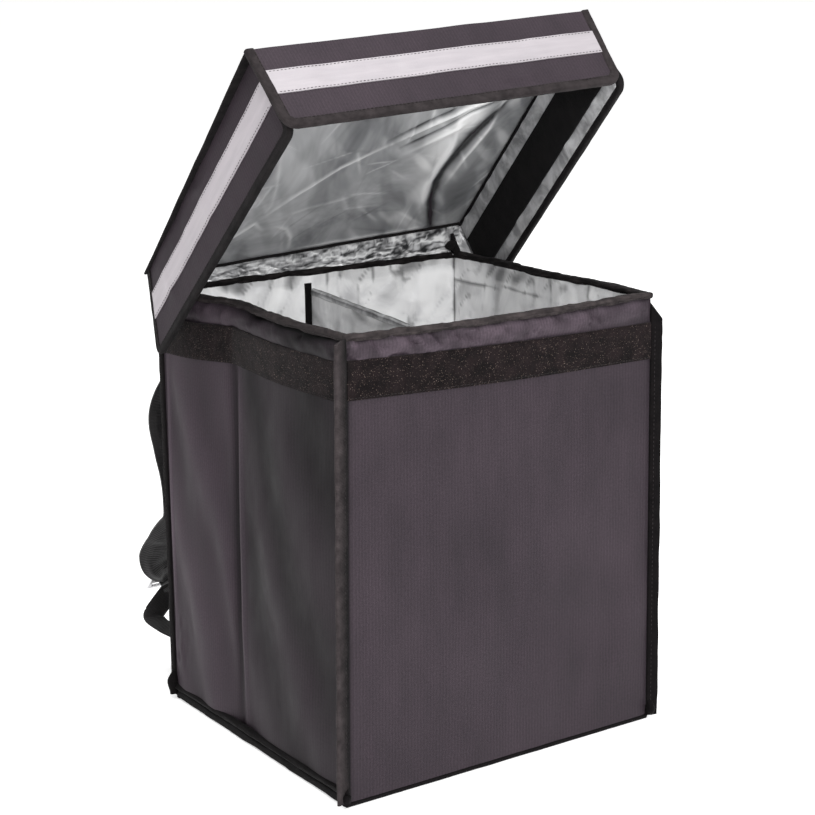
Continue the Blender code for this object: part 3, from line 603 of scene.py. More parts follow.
def foil_look(name, dark, light, crease, roughness, metallic, depth, scale=20):
    """Laminated foil: crumpled, with painted highlights on its creases, painted reflection patches, and
    painted light and shade from its tone.
    """
    look = Look(name, roughness, metallic=metallic, specular=0.5)
    source = look.stretch(look.uv, 1, 0.7, 1, 0.5)
    keys = {"Vector": source, "Scale": scale, "Detail": 4.0, "Roughness": 0.45, "Distortion": 0.5}
    ridged = look.node("ShaderNodeTexNoise", keys, noise_type="RIDGED_MULTIFRACTAL").outputs[0]
    keys = {"Vector": look.stretch(look.uv, 0.8, 1.2, 1, -0.4), "Scale": scale * 2.7, "Detail": 3.0}
    fine = look.node("ShaderNodeTexNoise", keys, noise_type="RIDGED_MULTIFRACTAL").outputs[0]
    patch = look.noise(source, scale * 0.9, 4, 0.62, 1.2)
    # Dark and light patches: painted reflection.
    base = look.blend(look.ramp(patch, 0.36, 0.62), dark, light)
    # Painted highlights along the ridged crumple lines.
    veins = look.math("MULTIPLY", look.ramp(ridged, 0.9, 1.7), 0.5)
    lit = look.blend(veins, base, crease)
    # Tone lifts the colour towards the highlight colour as painted highlight, and darkens it to near black
    # as painted shade.
    tone = look.tone()
    lifted = look.blend(look.ramp(tone, 0, 1), lit, crease)
    look.colour(look.blend(look.ramp(tone, 0, -1), lifted, (0.02, 0.02, 0.022)))
    look.rough(look.ramp(patch, 0.3, 0.7, roughness * 0.8, roughness * 1.25))
    look.bump(ridged, depth, 0.7)
    look.bump(fine, depth * 0.35, 0.6)
    return look.material


def stripe_look(name, base, dark):
    """Reflective tape: pale, with a fine bead pattern and faint rubbed lines."""
    look = Look(name, 0.42, specular=0.6)
    beads = look.cells(900)
    scuffs = look.noise(look.stretch(look.uv, 1, 9), 14, 4, 0.6)
    look.colour(look.blend(look.ramp(scuffs, 0.35, 0.75), dark, base))
    look.bump(beads, 0.00012, 0.5)
    look.bump(scuffs, 0.0008, 0.4)
    return look.material


def webbing_look(name, dark, light):
    look = Look(name, 0.7, sheen=0.2, specular=0.3)
    ribs = look.wave(420, "Y", 0.2)
    along = look.wave(250, "X", 0.3)
    weave = look.math("MULTIPLY", ribs, look.ramp(along, 0, 1, 0.6, 1.0))
    mottle = look.noise(look.uv, 70, 4, 0.6)
    base = look.blend(look.ramp(mottle, 0.35, 0.65), dark, light)
    look.colour(look.blend(look.ramp(weave, 0.1, 0.7, 0.4, 0.0), base, tuple(c * 0.4 for c in dark)))
    look.bump(weave, 0.0004, 0.7)
    return look.material


def steel_look():
    look = Look("buckle_steel", 0.25, metallic=1.0)
    scratches = look.noise(look.stretch(look.place, 1, 12), 500, 3, 0.6)
    look.colour(look.blend(scratches, (0.48, 0.48, 0.49), (0.72, 0.72, 0.73)))
    look.rough(look.ramp(scratches, 0.3, 0.7, 0.18, 0.36))
    look.bump(scratches, 0.0001, 0.3)
    return look.material


def floor_look():
    look = Look("floor_paper", 0.9, specular=0.1)
    grain = look.noise(look.place, 60, 3)
    look.colour(look.blend(grain, (0.90, 0.90, 0.90), (0.93, 0.93, 0.93)))
    look.bump(grain, 0.0001, 0.2)
    look.shader.inputs["Emission Color"].default_value = (1, 1, 1, 1)
    look.shader.inputs["Emission Strength"].default_value = FLOOR_GLOW
    return look.material


CLOTH = cloth_look("cloth_charcoal", linear(44, 38, 43), linear(58, 50, 56))
BINDING_RIM = binding_look("binding_grey", linear(38, 34, 35), linear(64, 58, 58))
BINDING = binding_look("binding_charcoal", linear(34, 30, 31), linear(52, 47, 48))
# Near-black binding: on the side skirts and lid trims it is a darker copy of the charcoal binding, painted
# shade.
BINDING_DARK = binding_look("binding_black_and_shaded", linear(16, 14, 15), linear(30, 27, 28))
HOOK = pile_look("hook_black", linear(10, 6, 7), linear(25, 18, 19), linear(134, 118, 110))
LOOP = pile_look("loop_black", linear(6, 5, 6), linear(14, 12, 13), linear(28, 26, 27))
# One foil lining in three copies: the lid and skirt copies are much darker than the body copy, painted
# shade on the lid's lining.
FOIL_BODY = foil_look("foil_body", (0.66, 0.66, 0.67), (0.95,) * 3, (0.98,) * 3, 0.34, 0.15, 0.006)
FOIL_LID = foil_look(
    "foil_lid", (0.21, 0.215, 0.225), (0.55, 0.555, 0.565), (0.95,) * 3, 0.38, 0.3, 0.0018, 9
)
FOIL_SKIRT = foil_look(
    "foil_skirt", (0.24, 0.24, 0.245), (0.60, 0.60, 0.61), (0.92,) * 3, 0.36, 0.3, 0.0026, 46
)
# The front copy of the reflective tape is darker than the side copy: painted shade that holds down the
# more strongly lit front stripe.
STRIPE = stripe_look("stripe_pale", linear(178, 171, 176), linear(165, 159, 164))
STRIPE_FRONT = stripe_look("stripe_front", linear(160, 154, 158), linear(148, 143, 147))
BINDING_FOOT = binding_look("binding_foot", linear(6, 4, 5), linear(14, 11, 12))
WEBBING = webbing_look("webbing_black", linear(14, 12, 13), linear(28, 25, 26))
STRAP = webbing_look("strap_mesh", linear(12, 10, 11), linear(24, 21, 23))
THREAD = binding_look("thread_grey", linear(40, 36, 37), linear(54, 50, 51))
STEEL = steel_look()

# Body walls


def wall_relief(wall, x, z, length):
    """How far the cloth of a wall stands out of its plain surface, and its tone: painted light and shade
    on its folds, roll, edges and halves.
    """
    edge = np.minimum(x, length - x)
    soft = 0.0011 * fractal(x / 0.11, z / 0.14, 3) * step(edge, 0, 0.04)
    pulled = -0.0016 * np.exp(-edge / 0.004)
    rolled = step(z, HOOK_TOP - 0.004, HOOK_TOP + 0.004)
    bunch = rolled * 0.0011 * fractal(x / 0.014 + z / 0.03, z / 0.02, 5)
    tone = np.zeros_like(x)
    relief = soft * (1 - rolled) + pulled + bunch
    if wall == "front":
        near = mix(0.35, 1.0, step(x, 0.24, 0.02))
        squirm = veins(x / 0.014 + z / 0.02, z / 0.010 + x / 0.05, 8, 0.4)
        writhe = 0.0034 * noise(x / 0.010 + z / 0.012, z / 0.012, 8) + 0.0020 * squirm
        relief += rolled * near * writhe
        # Painted highlights on the roll's wrinkles, and painted shade along the top of the roll under the
        # rim tape.
        tone += rolled * (0.35 + 0.75 * near * squirm + 0.45 * noise(x / 0.012, z / 0.008, 10))
        tone -= 0.55 * rolled * step(z, ROLL_TOP - 0.004, ROLL_TOP)
        # Painted shade in the gap by the near corner tape, and a little at the far end.
        tone -= 0.9 * (1 - step(x, 0.0042, 0.0062)) + 0.15 * np.exp(-(length - x) / 0.004)
        sweep = ridge(x, z, [(0.335, 0.05), (0.352, 0.10), (0.372, 0.16)], 0.022)
        relief += 0.0016 * sweep
        bow = ridge(x, z, [(0.055, 0.36), (0.075, 0.27), (0.085, 0.18), (0.080, 0.09)], 0.006)
        relief -= 0.0004 * bow
        # Painted highlight on the sweeping fold.
        tone += 0.10 * sweep
    if wall == "left":
        bunches = noise(x / 0.022 - z / 0.02, z / 0.015, 18) + 0.6 * veins(x / 0.02, z / 0.012, 20, 0.4)
        relief += rolled * 0.0022 * bunches
        # Painted light and shade on the roll's bunches, and painted shade along the top of the roll under
        # the rim tape.
        tone += rolled * (0.35 * bunches - 0.15)
        tone -= 0.4 * rolled * step(z, ROLL_TOP - 0.004, ROLL_TOP)
        middle = length / 2
        lip = ridge(x, z, [(middle + 0.008, 0.0), (middle + 0.008, 0.40)], 0.0045)
        valley = ridge(x, z, [(middle - 0.003, 0.0), (middle - 0.003, 0.44)], 0.0075)
        relief += 0.0034 * lip - 0.0036 * valley
        rear, front = step(x, middle, middle - 0.03), step(x, middle, middle + 0.03)
        bands = np.sin((x * 1.5 + z) / 0.030 + noise(x / 0.08, z / 0.1, 4) * 1.5)
        relief += 0.0022 * bands * rear * step(edge, 0, 0.04) * step(z, 0.42, 0.34)
        slants = np.sin((x * 1.7 + z * 0.8) / 0.028 + noise(x / 0.09, z / 0.12, 6) * 1.6)
        relief += 0.0015 * slants * front * step(edge, 0, 0.05) * step(z, 0.40, 0.30)
        # Painted highlight on the crease's lip, painted shade in its valley, and painted light and shade
        # on the slanting folds of both halves.
        tone += 0.7 * lip - 0.75 * valley + 0.20 * bands * rear + 0.18 * slants * front
        # Painted highlight along the rear edge, over a slight raised roll.
        bright = ridge(x, z, [(0.008, 0.04), (0.009, 0.25), (0.012, 0.40)], 0.0045)
        relief += 0.0016 * bright
        tone += 1.5 * bright * (0.7 + 0.5 * noise(z / 0.06, 0 * z, 2))
        low = bell(x, 0.014, 0.02) * bell(z, 0.06, 0.035)
        relief += 0.0022 * low * noise(x / 0.006, z / 0.014, 9)
        # Painted light on the rear half and painted shade on the front half, deeper low down, for how the
        # light falls on the two halves.
        tone += 0.18 * rear - 0.44 * front - 0.16 * front * step(z, 0.05, 0.25)
    if wall == "right":
        relief += 0.0014 * np.sin((z - x * 0.5) / 0.05) * step(edge, 0, 0.05)
    return relief, tone


def make_walls():
    made = {}
    for wall, foot, grain in (
        ("front", 0.0054, 0.0028),
        ("left", BASE_THICKNESS + 0.0002, 0.0026),
        ("right", BASE_THICKNESS + 0.0002, 0.0032),
        ("back", 0.0054, 0.0036),
    ):
        length = run_length(wall)
        shares = np.linspace(0, 1, round(length / grain))
        heights = np.linspace(foot, WALL_TOP, round((ROLL_TOP - foot) / grain))
        share, z = np.meshgrid(shares, heights)
        relief, tone = wall_relief(wall, share * length, z, length)
        relief -= 0.003 * step(z, ROLL_TOP - 0.002, ROLL_TOP + 0.001)
        front = wall_at(wall, share, z, relief)
        back = wall_at(wall, share, z, -WALL_CLOTH, WALL_CLOTH * (1 - 2 * share))
        parts = [slab(front, back, uv_of(share * length, z))]
        tones = both_sides(tone)
        made[wall] = piece(f"{wall}_cloth", parts, CLOTH, [f"{wall}_panel"], tones)
    return made


def rim_ring(profile, waver):
    """Rings of a tube all round the rim: each profile point is out of the wall, and up."""
    rings, lengths, tones, start = [], [], [], 0.0
    for wall in WALLS:
        length = run_length(wall)
        shares = np.linspace(0, 1, round(length / 0.0035))[:-1]
        share, index, out, z = around(profile, shares)
        x = start + share * length
        swell = fractal(x / 0.02, index * 0.35, 6, 2) + 0.6 * fractal(x / 0.006, index * 0.2, 7, 2)
        middle, high = np.mean(profile, axis=0)
        grow = waver * swell / (np.hypot(out - middle, z - high) + 1e-9)
        out, z = out + (out - middle) * grow, z + (z - high) * grow
        rings.append(wall_at(wall, share, z, out, -out * (1 - 2 * share)))
        lengths.append(x)
        # Painted shade: the rim tape darker on the right and back walls and a little on the left, with
        # random variation.
        shade = {"front": 0.0, "right": -0.72, "back": -0.72, "left": -0.25}[wall]
        tones.append(shade + 0.25 * fractal(x / 0.012, index * 0.5, 9, 2))
        start += length
    return np.concatenate(rings), np.concatenate(lengths), np.concatenate(tones)


def rounded_box(low, high, bottom, top, radius, steps=4):
    """A closed outline round a box with rounded corners, as pairs."""
    corners = (
        (high - radius, top - radius, 0),
        (low + radius, top - radius, 90),
        (low + radius, bottom + radius, 180),
        (high - radius, bottom + radius, 270),
    )
    outline = []
    for x, y, turn in corners:
        for part in range(steps + 1):
            angle = math.radians(turn + 90 * part / steps)
            outline.append((x + radius * math.cos(angle), y + radius * math.sin(angle)))
    return outline


def around(profile, shares):
    """Grids of a share, its place in a profile, and that place's two measures."""
    share, index = np.meshgrid(shares, np.arange(len(profile)), indexing="ij")
    first, second = np.array(profile).T
    return share, index, first[index], second[index]


def make_rim():
    profile = rounded_box(-0.0088, RIM_OUT, ROLL_TOP - 0.001, BODY_HEIGHT, 0.0034)
    points, x, tones = rim_ring(profile, 0.0007)
    uv = uv_of(x, run_along(profile)[None, :])
    tones = np.clip(tones, -0.85, 0.5)
    piece("rim_tape", [tube(points, uv, closed=True)], BINDING_RIM, ["rim_binding"], tones)


def hook_shift(wall, share):
    """How much higher a hook tape is sewn on than a level one."""
    if wall == "front":
        return mix(0.0030, -0.0042, share)
    if wall == "left":
        return mix(-0.0060, 0.0, np.clip(share * 2, 0, 1))
    return 0 * share


def make_hook_tapes():
    for wall in ("front", "left", "right"):
        length = run_length(wall)
        inset = 0.0018 if wall == "front" else 0.004
        shares = np.linspace(inset / length, 1 - inset / length, round(length / 0.002))
        heights = np.linspace(HOOK_BOTTOM, HOOK_TOP, 20)
        share, z = np.meshgrid(shares, heights)
        x = share * length
        nap = 0.0003 * noise(x / 0.0022, z / 0.0022, 4) + 0.0004 * fractal(x / 0.05, z / 0.03, 2)
        edge = np.minimum(z - HOOK_BOTTOM, HOOK_TOP - z)
        curl = -0.0008 * np.exp(-edge / 0.0012)
        z += hook_shift(wall, share)
        front = wall_at(wall, share, z, TAPE_GAP + TAPE_THICKNESS + nap + curl)
        back = wall_at(wall, share, z, -0.0003)
        piece(f"hook_pile_{wall}", [slab(front, back, uv_of(x, z))], HOOK, [f"hook_tape_{wall}"])


def corner_ways(name):
    """The ways out of a body corner and across it."""
    side, end = CORNERS[name][:2]
    lean = math.radians(20 if end < 0 else 85)
    ahead = np.array((side * math.cos(lean), end * math.sin(lean), 0))
    return ahead, np.array((-ahead[1], ahead[0], 0))


def make_corners():
    for name in CORNERS:
        ahead, beside = corner_ways(name)
        width = {"front_left": 0.0150, "back_left": 0.0075}.get(name, 0.0116)
        profile = rounded_box(-0.0012, width, -0.002, 0.002, 0.0019, 3)
        out, off = np.array(profile).T
        near = name == "front_left"
        low, high = (0.0075, ROLL_TOP + 0.003) if near else (0.0045, RIM_FOOT - 0.0008)
        level = np.linspace(low, high, 150)
        slant = {"front_right": 0.016, "front_left": 0.003}.get(name, 0.005)
        drop = slant * step(level, RIM_FOOT - 0.05, RIM_FOOT)
        z = level[:, None] - drop[:, None] * (out / 0.0116)[None, :]
        waver = 0.0006 * fractal(level / 0.03, 0 * level, 7)[:, None]
        flat = 1 + 0.18 * fractal(level / 0.012, 0 * level, 2)[:, None]
        spot = corner_at(name, z)
        points = spot + ahead * (out[None, :] + waver * (out > 0.003))[..., None]
        points += beside * (off[None, :] * flat)[..., None]
        uv = uv_of(level[:, None], run_along(profile)[None, :])
        # Painted shade on the near corner tape's inner strip, in the gap by the wall, with its outer strip
        # painted lighter.
        gap = mix(0.45, -0.85, 1 - step(out, 0.0035, 0.0050)) * near
        tones = gap[None, :] + 0.2 * fractal(level / 0.02, 0 * level, 5)[:, None]
        replaced = [f"corner_binding_{name}"]
        # The other three corners take the near-black foot tape, a darker copy of the corner binding:
        # painted shade.
        look = BINDING if near else BINDING_FOOT
        piece(f"corner_tape_{name}", [tube(points, uv)], look, replaced, tones)


def foot_at(wall, share, z, out, inset=0.0):
    first, last, outward = WALLS[wall][:3]
    share, z, out, inset = np.broadcast_arrays(share, z, out, inset)
    zero = np.zeros(share.shape)
    start, end = corner_at(first, zero), corner_at(last, zero)
    run = share + inset / np.linalg.norm(end - start, axis=-1)
    spot = start + (end - start) * run[..., None] + np.array(outward, float) * out[..., None]
    return spot + np.array((0, 0, 1.0)) * z[..., None]


def foot_tube(wall, low, high, out, depth, radius, inset, waver, seed):
    profile = rounded_box(out - depth, out, low, high, radius, 3)
    length = run_length(wall)
    shares = np.linspace(0, 1, round(length / 0.003))
    share, index, reach, z = around(profile, shares)
    x = share * length
    wave = waver * fractal(x / 0.02, index * 0.3, seed)
    reach += wave * (reach > out - depth / 2)
    points = foot_at(wall, share, z, reach, inset * (1 - 2 * share))
    return tube(points, uv_of(x, run_along(profile)[None, :]))


def make_foot():
    for wall in ("left", "right"):
        band = foot_tube(wall, FLOOR_CLEARANCE, 0.0108, 0.0008, 0.0068, 0.0026, 0.003, 0.0006, 3)
        piece(f"foot_tape_{wall}", [band], BINDING_FOOT, [f"base_binding_{wall}"])
        piping = foot_tube(wall, 0.0112, 0.0182, 0.0034, 0.0078, 0.0030, 0.003, 0.0007, 5)
        piece(f"foot_piping_{wall}", [piping], BINDING_FOOT, [f"base_seam_binding_{wall}"])
    for wall in ("front", "back"):
        hem = foot_tube(wall, FLOOR_CLEARANCE, 0.0056, 0.0006, 0.0066, 0.0018, 0.0, 0.0003, 4)
        piece(f"foot_tape_{wall}", [hem], BINDING_FOOT, [f"base_binding_{wall}"])
    knots = []
    t = np.linspace(0, 1, 12)
    for name, high, size in FOOT_KNOTS:
        side, end = CORNERS[name][:2]
        out = np.array((side * 0.0030, end * 0.0024, 0.0))
        bow = np.sin(np.pi * (0.2 + 0.7 * t))[:, None]
        line = corner_at(name, mix(0.0062, high, t)) + out * bow
        width = size * np.sin(np.pi * (0.3 + 0.62 * t)) ** 0.7 * (1 + 0.22 * noise(t * 5, 0 * t, 3 + side))
        knots.append(rod(line, width, 12))
    piece("foot_knots", knots, BINDING_FOOT)


def make_base():
    across, along = np.meshgrid(np.linspace(0, 1, 90), np.linspace(0, 1, 84))
    grids = []
    for level in (0.0, BASE_THICKNESS):
        points = level_at(across, along, level)
        middle = points.mean(axis=(0, 1))
        points[..., :2] = middle[:2] + (points[..., :2] - middle[:2]) * BASE_SHARE
        grids.append(points)
    edge = np.minimum(np.minimum(across, 1 - across), np.minimum(along, 1 - along))
    uneven = 0.00015 * step(edge, 0.03, 0.1) * (1 + fractal(across * 9, along * 9, 3))
    grids[0][..., 2] += 0.0012 * (1 - step(edge, 0, 0.03)) + uneven
    uv = uv_of(across * BODY_WIDTH, along * BODY_DEPTH)
    piece("base_cloth", [slab(*grids, uv)], CLOTH, ["base_panel"])


def foil_wall(wall, grain):
    length = run_length(wall)
    floor = BASE_THICKNESS + 0.0006
    shares = np.linspace(0, 1, round(length / grain))
    heights = np.linspace(floor, WALL_TOP, round((ROLL_TOP - floor) / grain))
    share, z = np.meshgrid(shares, heights)
    x = share * length
    seed = {"front": 21, "right": 22, "back": 23, "left": 24}[wall]
    folds = crumple(x, z, seed, 150, 0.09, 0.018) * 0.0020
    folds += crumple(x, z, seed + 10, 220, 0.04, 0.013) * 0.0011
    edge = np.minimum(np.minimum(x, length - x), ROLL_TOP - z)
    gather = 0.0012 * noise(x / 0.012, z / 0.06, seed) * bell(z, RIM_FOOT - 0.01, 0.03)
    relief = np.clip(folds + gather + 0.001, -0.0006, 0.006) * step(edge, -0.002, 0.014)
    out = -INSIDE - relief
    front = wall_at(wall, share, z, out, -out * (1 - 2 * share))
    back = wall_at(wall, share, z, out + 0.0007, -(out + 0.0007) * (1 - 2 * share))
    # Tone: painted shade on sharp folds, in patches and along thin lines, under the rim roll (deeper on
    # the back wall) and in the corners. It also gives dark lines along a seam and an upright on the right
    # wall, and painted highlights where the folds run the other way.
    sharp = crumple(x, z, seed + 30, 80, 0.09, 0.015)
    dark = 0.9 * np.clip(sharp, 0, 1)
    dark += 0.55 * step(noise(x / 0.03 + z / 0.05, z / 0.02, seed + 6), 0.2, 0.7)
    dark += 0.6 * veins(x / 0.022, z / 0.03 + x / 0.04, seed + 3, 0.16)
    ragged = 0.012 + 0.006 * noise(x / 0.02, 0 * x, seed + 7)
    under = step(z, ROLL_TOP - ragged - 0.006, ROLL_TOP - ragged + 0.004) * mix(0.25, 0.6, wall == "back")
    seam = bell(z, ROLL_TOP - 0.024 + 0.003 * noise(x / 0.05, 0 * x, 3), 0.0012) * (wall == "right")
    upright = bell(x, 0.155, 0.0012) * (wall == "right")
    corner = np.exp(-np.minimum(x, length - x) / 0.002)
    dark += under + 0.9 * seam + 0.8 * upright + 0.8 * corner
    tone = 0.45 + 0.6 * np.clip(-sharp, 0, 1) - dark
    return slab(front, back, uv_of(x, z)), both_sides(np.clip(tone, -0.75, 1.0))


def make_body_foil():
    parts, tones = [], []
    for wall, grain in (("front", 0.005), ("right", 0.0034), ("back", 0.0034), ("left", 0.005)):
        part, tone = foil_wall(wall, grain)
        parts.append(part)
        tones.append(tone.ravel())
    across, along = np.meshgrid(np.linspace(0.02, 0.98, 70), np.linspace(0.02, 0.98, 66))
    low = level_at(across, along, BASE_THICKNESS + 0.0012)
    high = low.copy()
    x, y = across * BODY_WIDTH, along * BODY_DEPTH
    high[..., 2] += 0.0008 + np.clip(crumple(x, y, 31, 90, 0.09, 0.014) * 0.0014 + 0.0006, 0, 0.005)
    parts.append(slab(high, low, uv_of(x, y)))
    tones.append(0 * both_sides(across).ravel())
    made = piece("body_foil", parts, FOIL_BODY, ["body_lining"], np.concatenate(tones))


def divider_at(along, z, rise, side):
    x = DIVIDER_X + DIVIDER_WAVE * np.sin(np.pi * along) * rise + side
    return np.stack(np.broadcast_arrays(x, mix(0.1635, -0.167, along), z), -1)


def make_divider():
    floor = BASE_THICKNESS + 0.0018
    half = DIVIDER_THICKNESS / 2
    along, rise = np.meshgrid(np.linspace(0, 1, 110), np.linspace(0, 1, 120))
    top = BODY_HEIGHT - mix(DIVIDER_DROP_BACK, DIVIDER_DROP_FRONT, along)
    z = mix(floor, top - DIVIDER_HEM + 0.002, rise)
    x, y = along * DIVIDER_RUN, z
    hold = step(np.minimum(x, DIVIDER_RUN - x), 0, 0.02)
    fold = crumple(x, y, 41, 90, 0.11, 0.014) * 0.0012
    fold += crumple(x, y, 42, 160, 0.04, 0.007) * 0.0007
    fold *= hold * (1 - step(z, top - DIVIDER_HEM - 0.012, top - DIVIDER_HEM))
    left = divider_at(along, z, rise, -half + fold)
    right = divider_at(along, z, rise, half + fold)
    body = slab(left, right, uv_of(x, y))
    # Painted shade along thin fold lines of the divider.
    tone = 0.1 - 0.5 * veins(x / 0.07 + y / 0.09, y / 0.08, 44, 0.14) - 0.3 * veins(x / 0.03, y / 0.04, 45)
    piece("divider_foil", [body], FOIL_BODY, ["divider_panel"], both_sides(tone))
    profile = rounded_box(-half - 0.0006, half + 0.0006, -DIVIDER_HEM, 0.0, 0.0024, 4)
    share, index, side, drop = around(profile, np.linspace(0, 1, 130))
    top = BODY_HEIGHT - mix(DIVIDER_DROP_BACK, DIVIDER_DROP_FRONT, share)
    wrinkle = 0.0007 * fractal(share * 16, drop * 150, 4)
    points = divider_at(share, top + drop + 0.5 * wrinkle, 1.0, side + wrinkle * 0.6)
    uv = uv_of(share * DIVIDER_RUN, run_along(profile)[None, :])
    lines = np.where(index % 4 == 1, -0.6, 0.25) + 0.3 * noise(share * 40, index * 0.7, 3)
    lines = np.clip(lines, -0.8, 0.5)
    piece("divider_hem", [tube(points, uv)], FOIL_SKIRT, ["divider_binding"], lines)
    heights = np.linspace(floor + 0.001, BODY_HEIGHT - 0.017, 160)
    share, z = np.meshgrid(np.linspace(-0.5, 0.5, 14), heights)
    y = wall_at("back", 0.5 - DIVIDER_X / BODY_WIDTH, z, -INSIDE)[..., 1]
    nap = 0.0003 * noise(share * 12, z / 0.0022, 5) + 0.0003 * fractal(z / 0.05, share, 2)
    xs = DIVIDER_X - 0.006 + share * DIVIDER_TAPE
    front = np.stack([xs, y - 0.0023 - nap, z], -1)
    back = np.stack([xs, y - 0.0001, z], -1)
    piece("divider_pile", [slab(front, back, uv_of(xs, z))], LOOP, ["divider_tape"])


# Lid

# line across and forward, width, height, brightness of the painted highlight along it (painted shade below
# zero)
LID_CREASES = (
    ([(-0.092, 0.084), (-0.063, 0.119), (-0.027, 0.153), (0.025, 0.180)], 0.0028, 0.0016, 0.75),
    ([(0.025, 0.180), (0.064, 0.203), (0.106, 0.223), (0.155, 0.234)], 0.0034, 0.0026, 0.9),
    ([(0.020, 0.186), (0.060, 0.210), (0.102, 0.231), (0.150, 0.243)], 0.0030, -0.0016, -0.8),
    ([(0.041, 0.171), (0.082, 0.192), (0.111, 0.212), (0.144, 0.226)], 0.0030, -0.0016, -0.9),
    ([(0.050, 0.160), (0.090, 0.181), (0.120, 0.198)], 0.0050, 0.0016, 0.5),
    ([(0.166, 0.24), (0.15, 0.206), (0.139, 0.181), (0.128, 0.154), (0.121, 0.12)], 0.005, -0.0026, -1),
    ([(0.122, 0.14), (0.119, 0.098), (0.129, 0.061), (0.147, 0.021), (0.167, -0.02)], 0.005, -0.0026, -1),
    ([(0.105, 0.2), (0.112, 0.16), (0.108, 0.125), (0.11, 0.09), (0.122, 0.045)], 0.006, 0.0022, 0.8),
    ([(0.150, 0.240), (0.152, 0.180), (0.140, 0.130), (0.136, 0.090)], 0.0040, 0.0020, 0.7),
    (
        [(-0.123, 0.226), (-0.110, 0.177), (-0.098, 0.135), (-0.092, 0.101), (-0.096, 0.085)],
        0.0022,
        0.0010,
        0.35,
    ),
    ([(-0.071, 0.061), (-0.056, 0.054), (-0.044, 0.037), (-0.038, 0.015)], 0.0026, 0.0014, 0.6),
    ([(-0.136, 0.042), (-0.114, 0.060), (-0.101, 0.074), (-0.086, 0.057)], 0.0026, 0.0014, 0.7),
    ([(-0.071, 0.076), (-0.039, 0.089), (-0.003, 0.093), (0.020, 0.098)], 0.0026, 0.0012, 0.3),
    ([(-0.030, 0.0115), (0.050, 0.0115), (0.140, 0.0115)], 0.0028, 0.0012, 0.6),
)
# line across and forward, width, darkness
LID_SHADOWS = (
    ([(0.152, 0.212), (0.136, 0.180), (0.128, 0.150), (0.124, 0.125)], 0.0085, 1.1),
    ([(0.122, 0.125), (0.121, 0.098), (0.131, 0.061), (0.147, 0.021)], 0.0065, 0.9),
)


def lid_half(f, inset):
    return LID_WIDTH / 2 - skirt_inset(f) - inset


def make_lid_panel():
    ahead = np.linspace(0.0, LID_DEPTH - 0.0006, 128)
    share, f = np.meshgrid(np.linspace(0, 1, 150), ahead)
    a = mix(-lid_half(f, 0.0012), lid_half(f, 0.0012), share)
    along = f / LID_DEPTH
    swell = LID_PILLOW * np.sin(np.pi * along) * np.sin(np.pi * share)
    edge = np.minimum(np.minimum(share, 1 - share) * LID_WIDTH, np.minimum(f, LID_DEPTH - f))
    soft = 0.0009 * fractal(a / 0.07, f / 0.09, 12) * step(edge, 0, 0.03)
    stitched = -0.0012 * bell(edge, 0.012, 0.0022)
    front = lid_at(a, f, -swell - soft - stitched + 0.0002)
    back = lid_at(a * 0.968, mix(0.0, SKIRT_FRONT, along), LID_THICKNESS)
    made = piece("lid_cloth", [slab(front, back, uv_of(a, f))], CLOTH, ["lid_panel"])


def make_lid_foil():
    share, f = np.meshgrid(np.linspace(0, 1, 190), np.linspace(0.0016, SKIRT_FRONT - 0.0012, 160))
    half = lid_half(f, SKIRT_THICKNESS + 0.0012)
    a = mix(-half, half, share)
    along = (f - 0.0016) / (SKIRT_FRONT - 0.0028)
    swell = LID_PILLOW * np.sin(np.pi * along) * np.sin(np.pi * share)
    relief = 0.0008 * fractal(a / 0.08, f / 0.08, 14)
    tone = np.zeros_like(a)
    # Tone: painted highlights along the creases, painted shade where their brightness is below zero,
    # painted highlight patches, painted shadows, painted reflection streaks and shade patches, and painted
    # highlights on fine crumples.
    for line, width, height, bright in LID_CREASES:
        relief += height * ridge(a, f, line, width, 1.4)
        tone += 1.15 * bright * ridge(a, f, line, width * 0.9)
    tone += 0.8 * bell(a, 0.098, 0.022) * bell(f, 0.165, 0.05)
    tone += 1.1 * bell(a, 0.117, 0.019) * bell(f, 0.204, 0.017)
    for line, width, depth in LID_SHADOWS:
        tone -= depth * ridge(a, f, line, width)
    tone += 0.35 * bell(a, 0.06, 0.03) * bell(f, 0.235, 0.012)
    streaks = step(noise(a / 0.02 + f / 0.02, (a - f) / 0.09, 15), 0.1, 0.7)
    right = step(a, 0.0, 0.09)
    tone += 0.45 * streaks * right + 0.15 * streaks * (1 - right)
    shade = step(noise(a / 0.016 + f / 0.03, (a - f) / 0.07, 18), 0.0, 0.6)
    tone -= 0.35 * shade * right + 0.2 * shade * (1 - right)
    fine = crumple(a, f, 52, 130, 0.07, 0.0022)
    tone += 0.5 * np.clip(fine, 0, 1) - 0.25 * np.clip(-fine, 0, 1)
    relief += crumple(a, f, 51, 40, 0.09, 0.010) * 0.0006 + fine * 0.0003
    edge = np.minimum(half - np.abs(a), np.minimum(f, SKIRT_FRONT - f))
    relief *= step(edge, 0, 0.012)
    face = LID_THICKNESS + SEAM + swell
    part = sheet_on(lid_at, a, f, face + relief + 0.0012, face + relief + 0.0004)
    tones = both_sides(np.clip(tone, -1, 1))
    made = piece("lid_foil", [part], FOIL_LID, ["lid_lining"], tones)


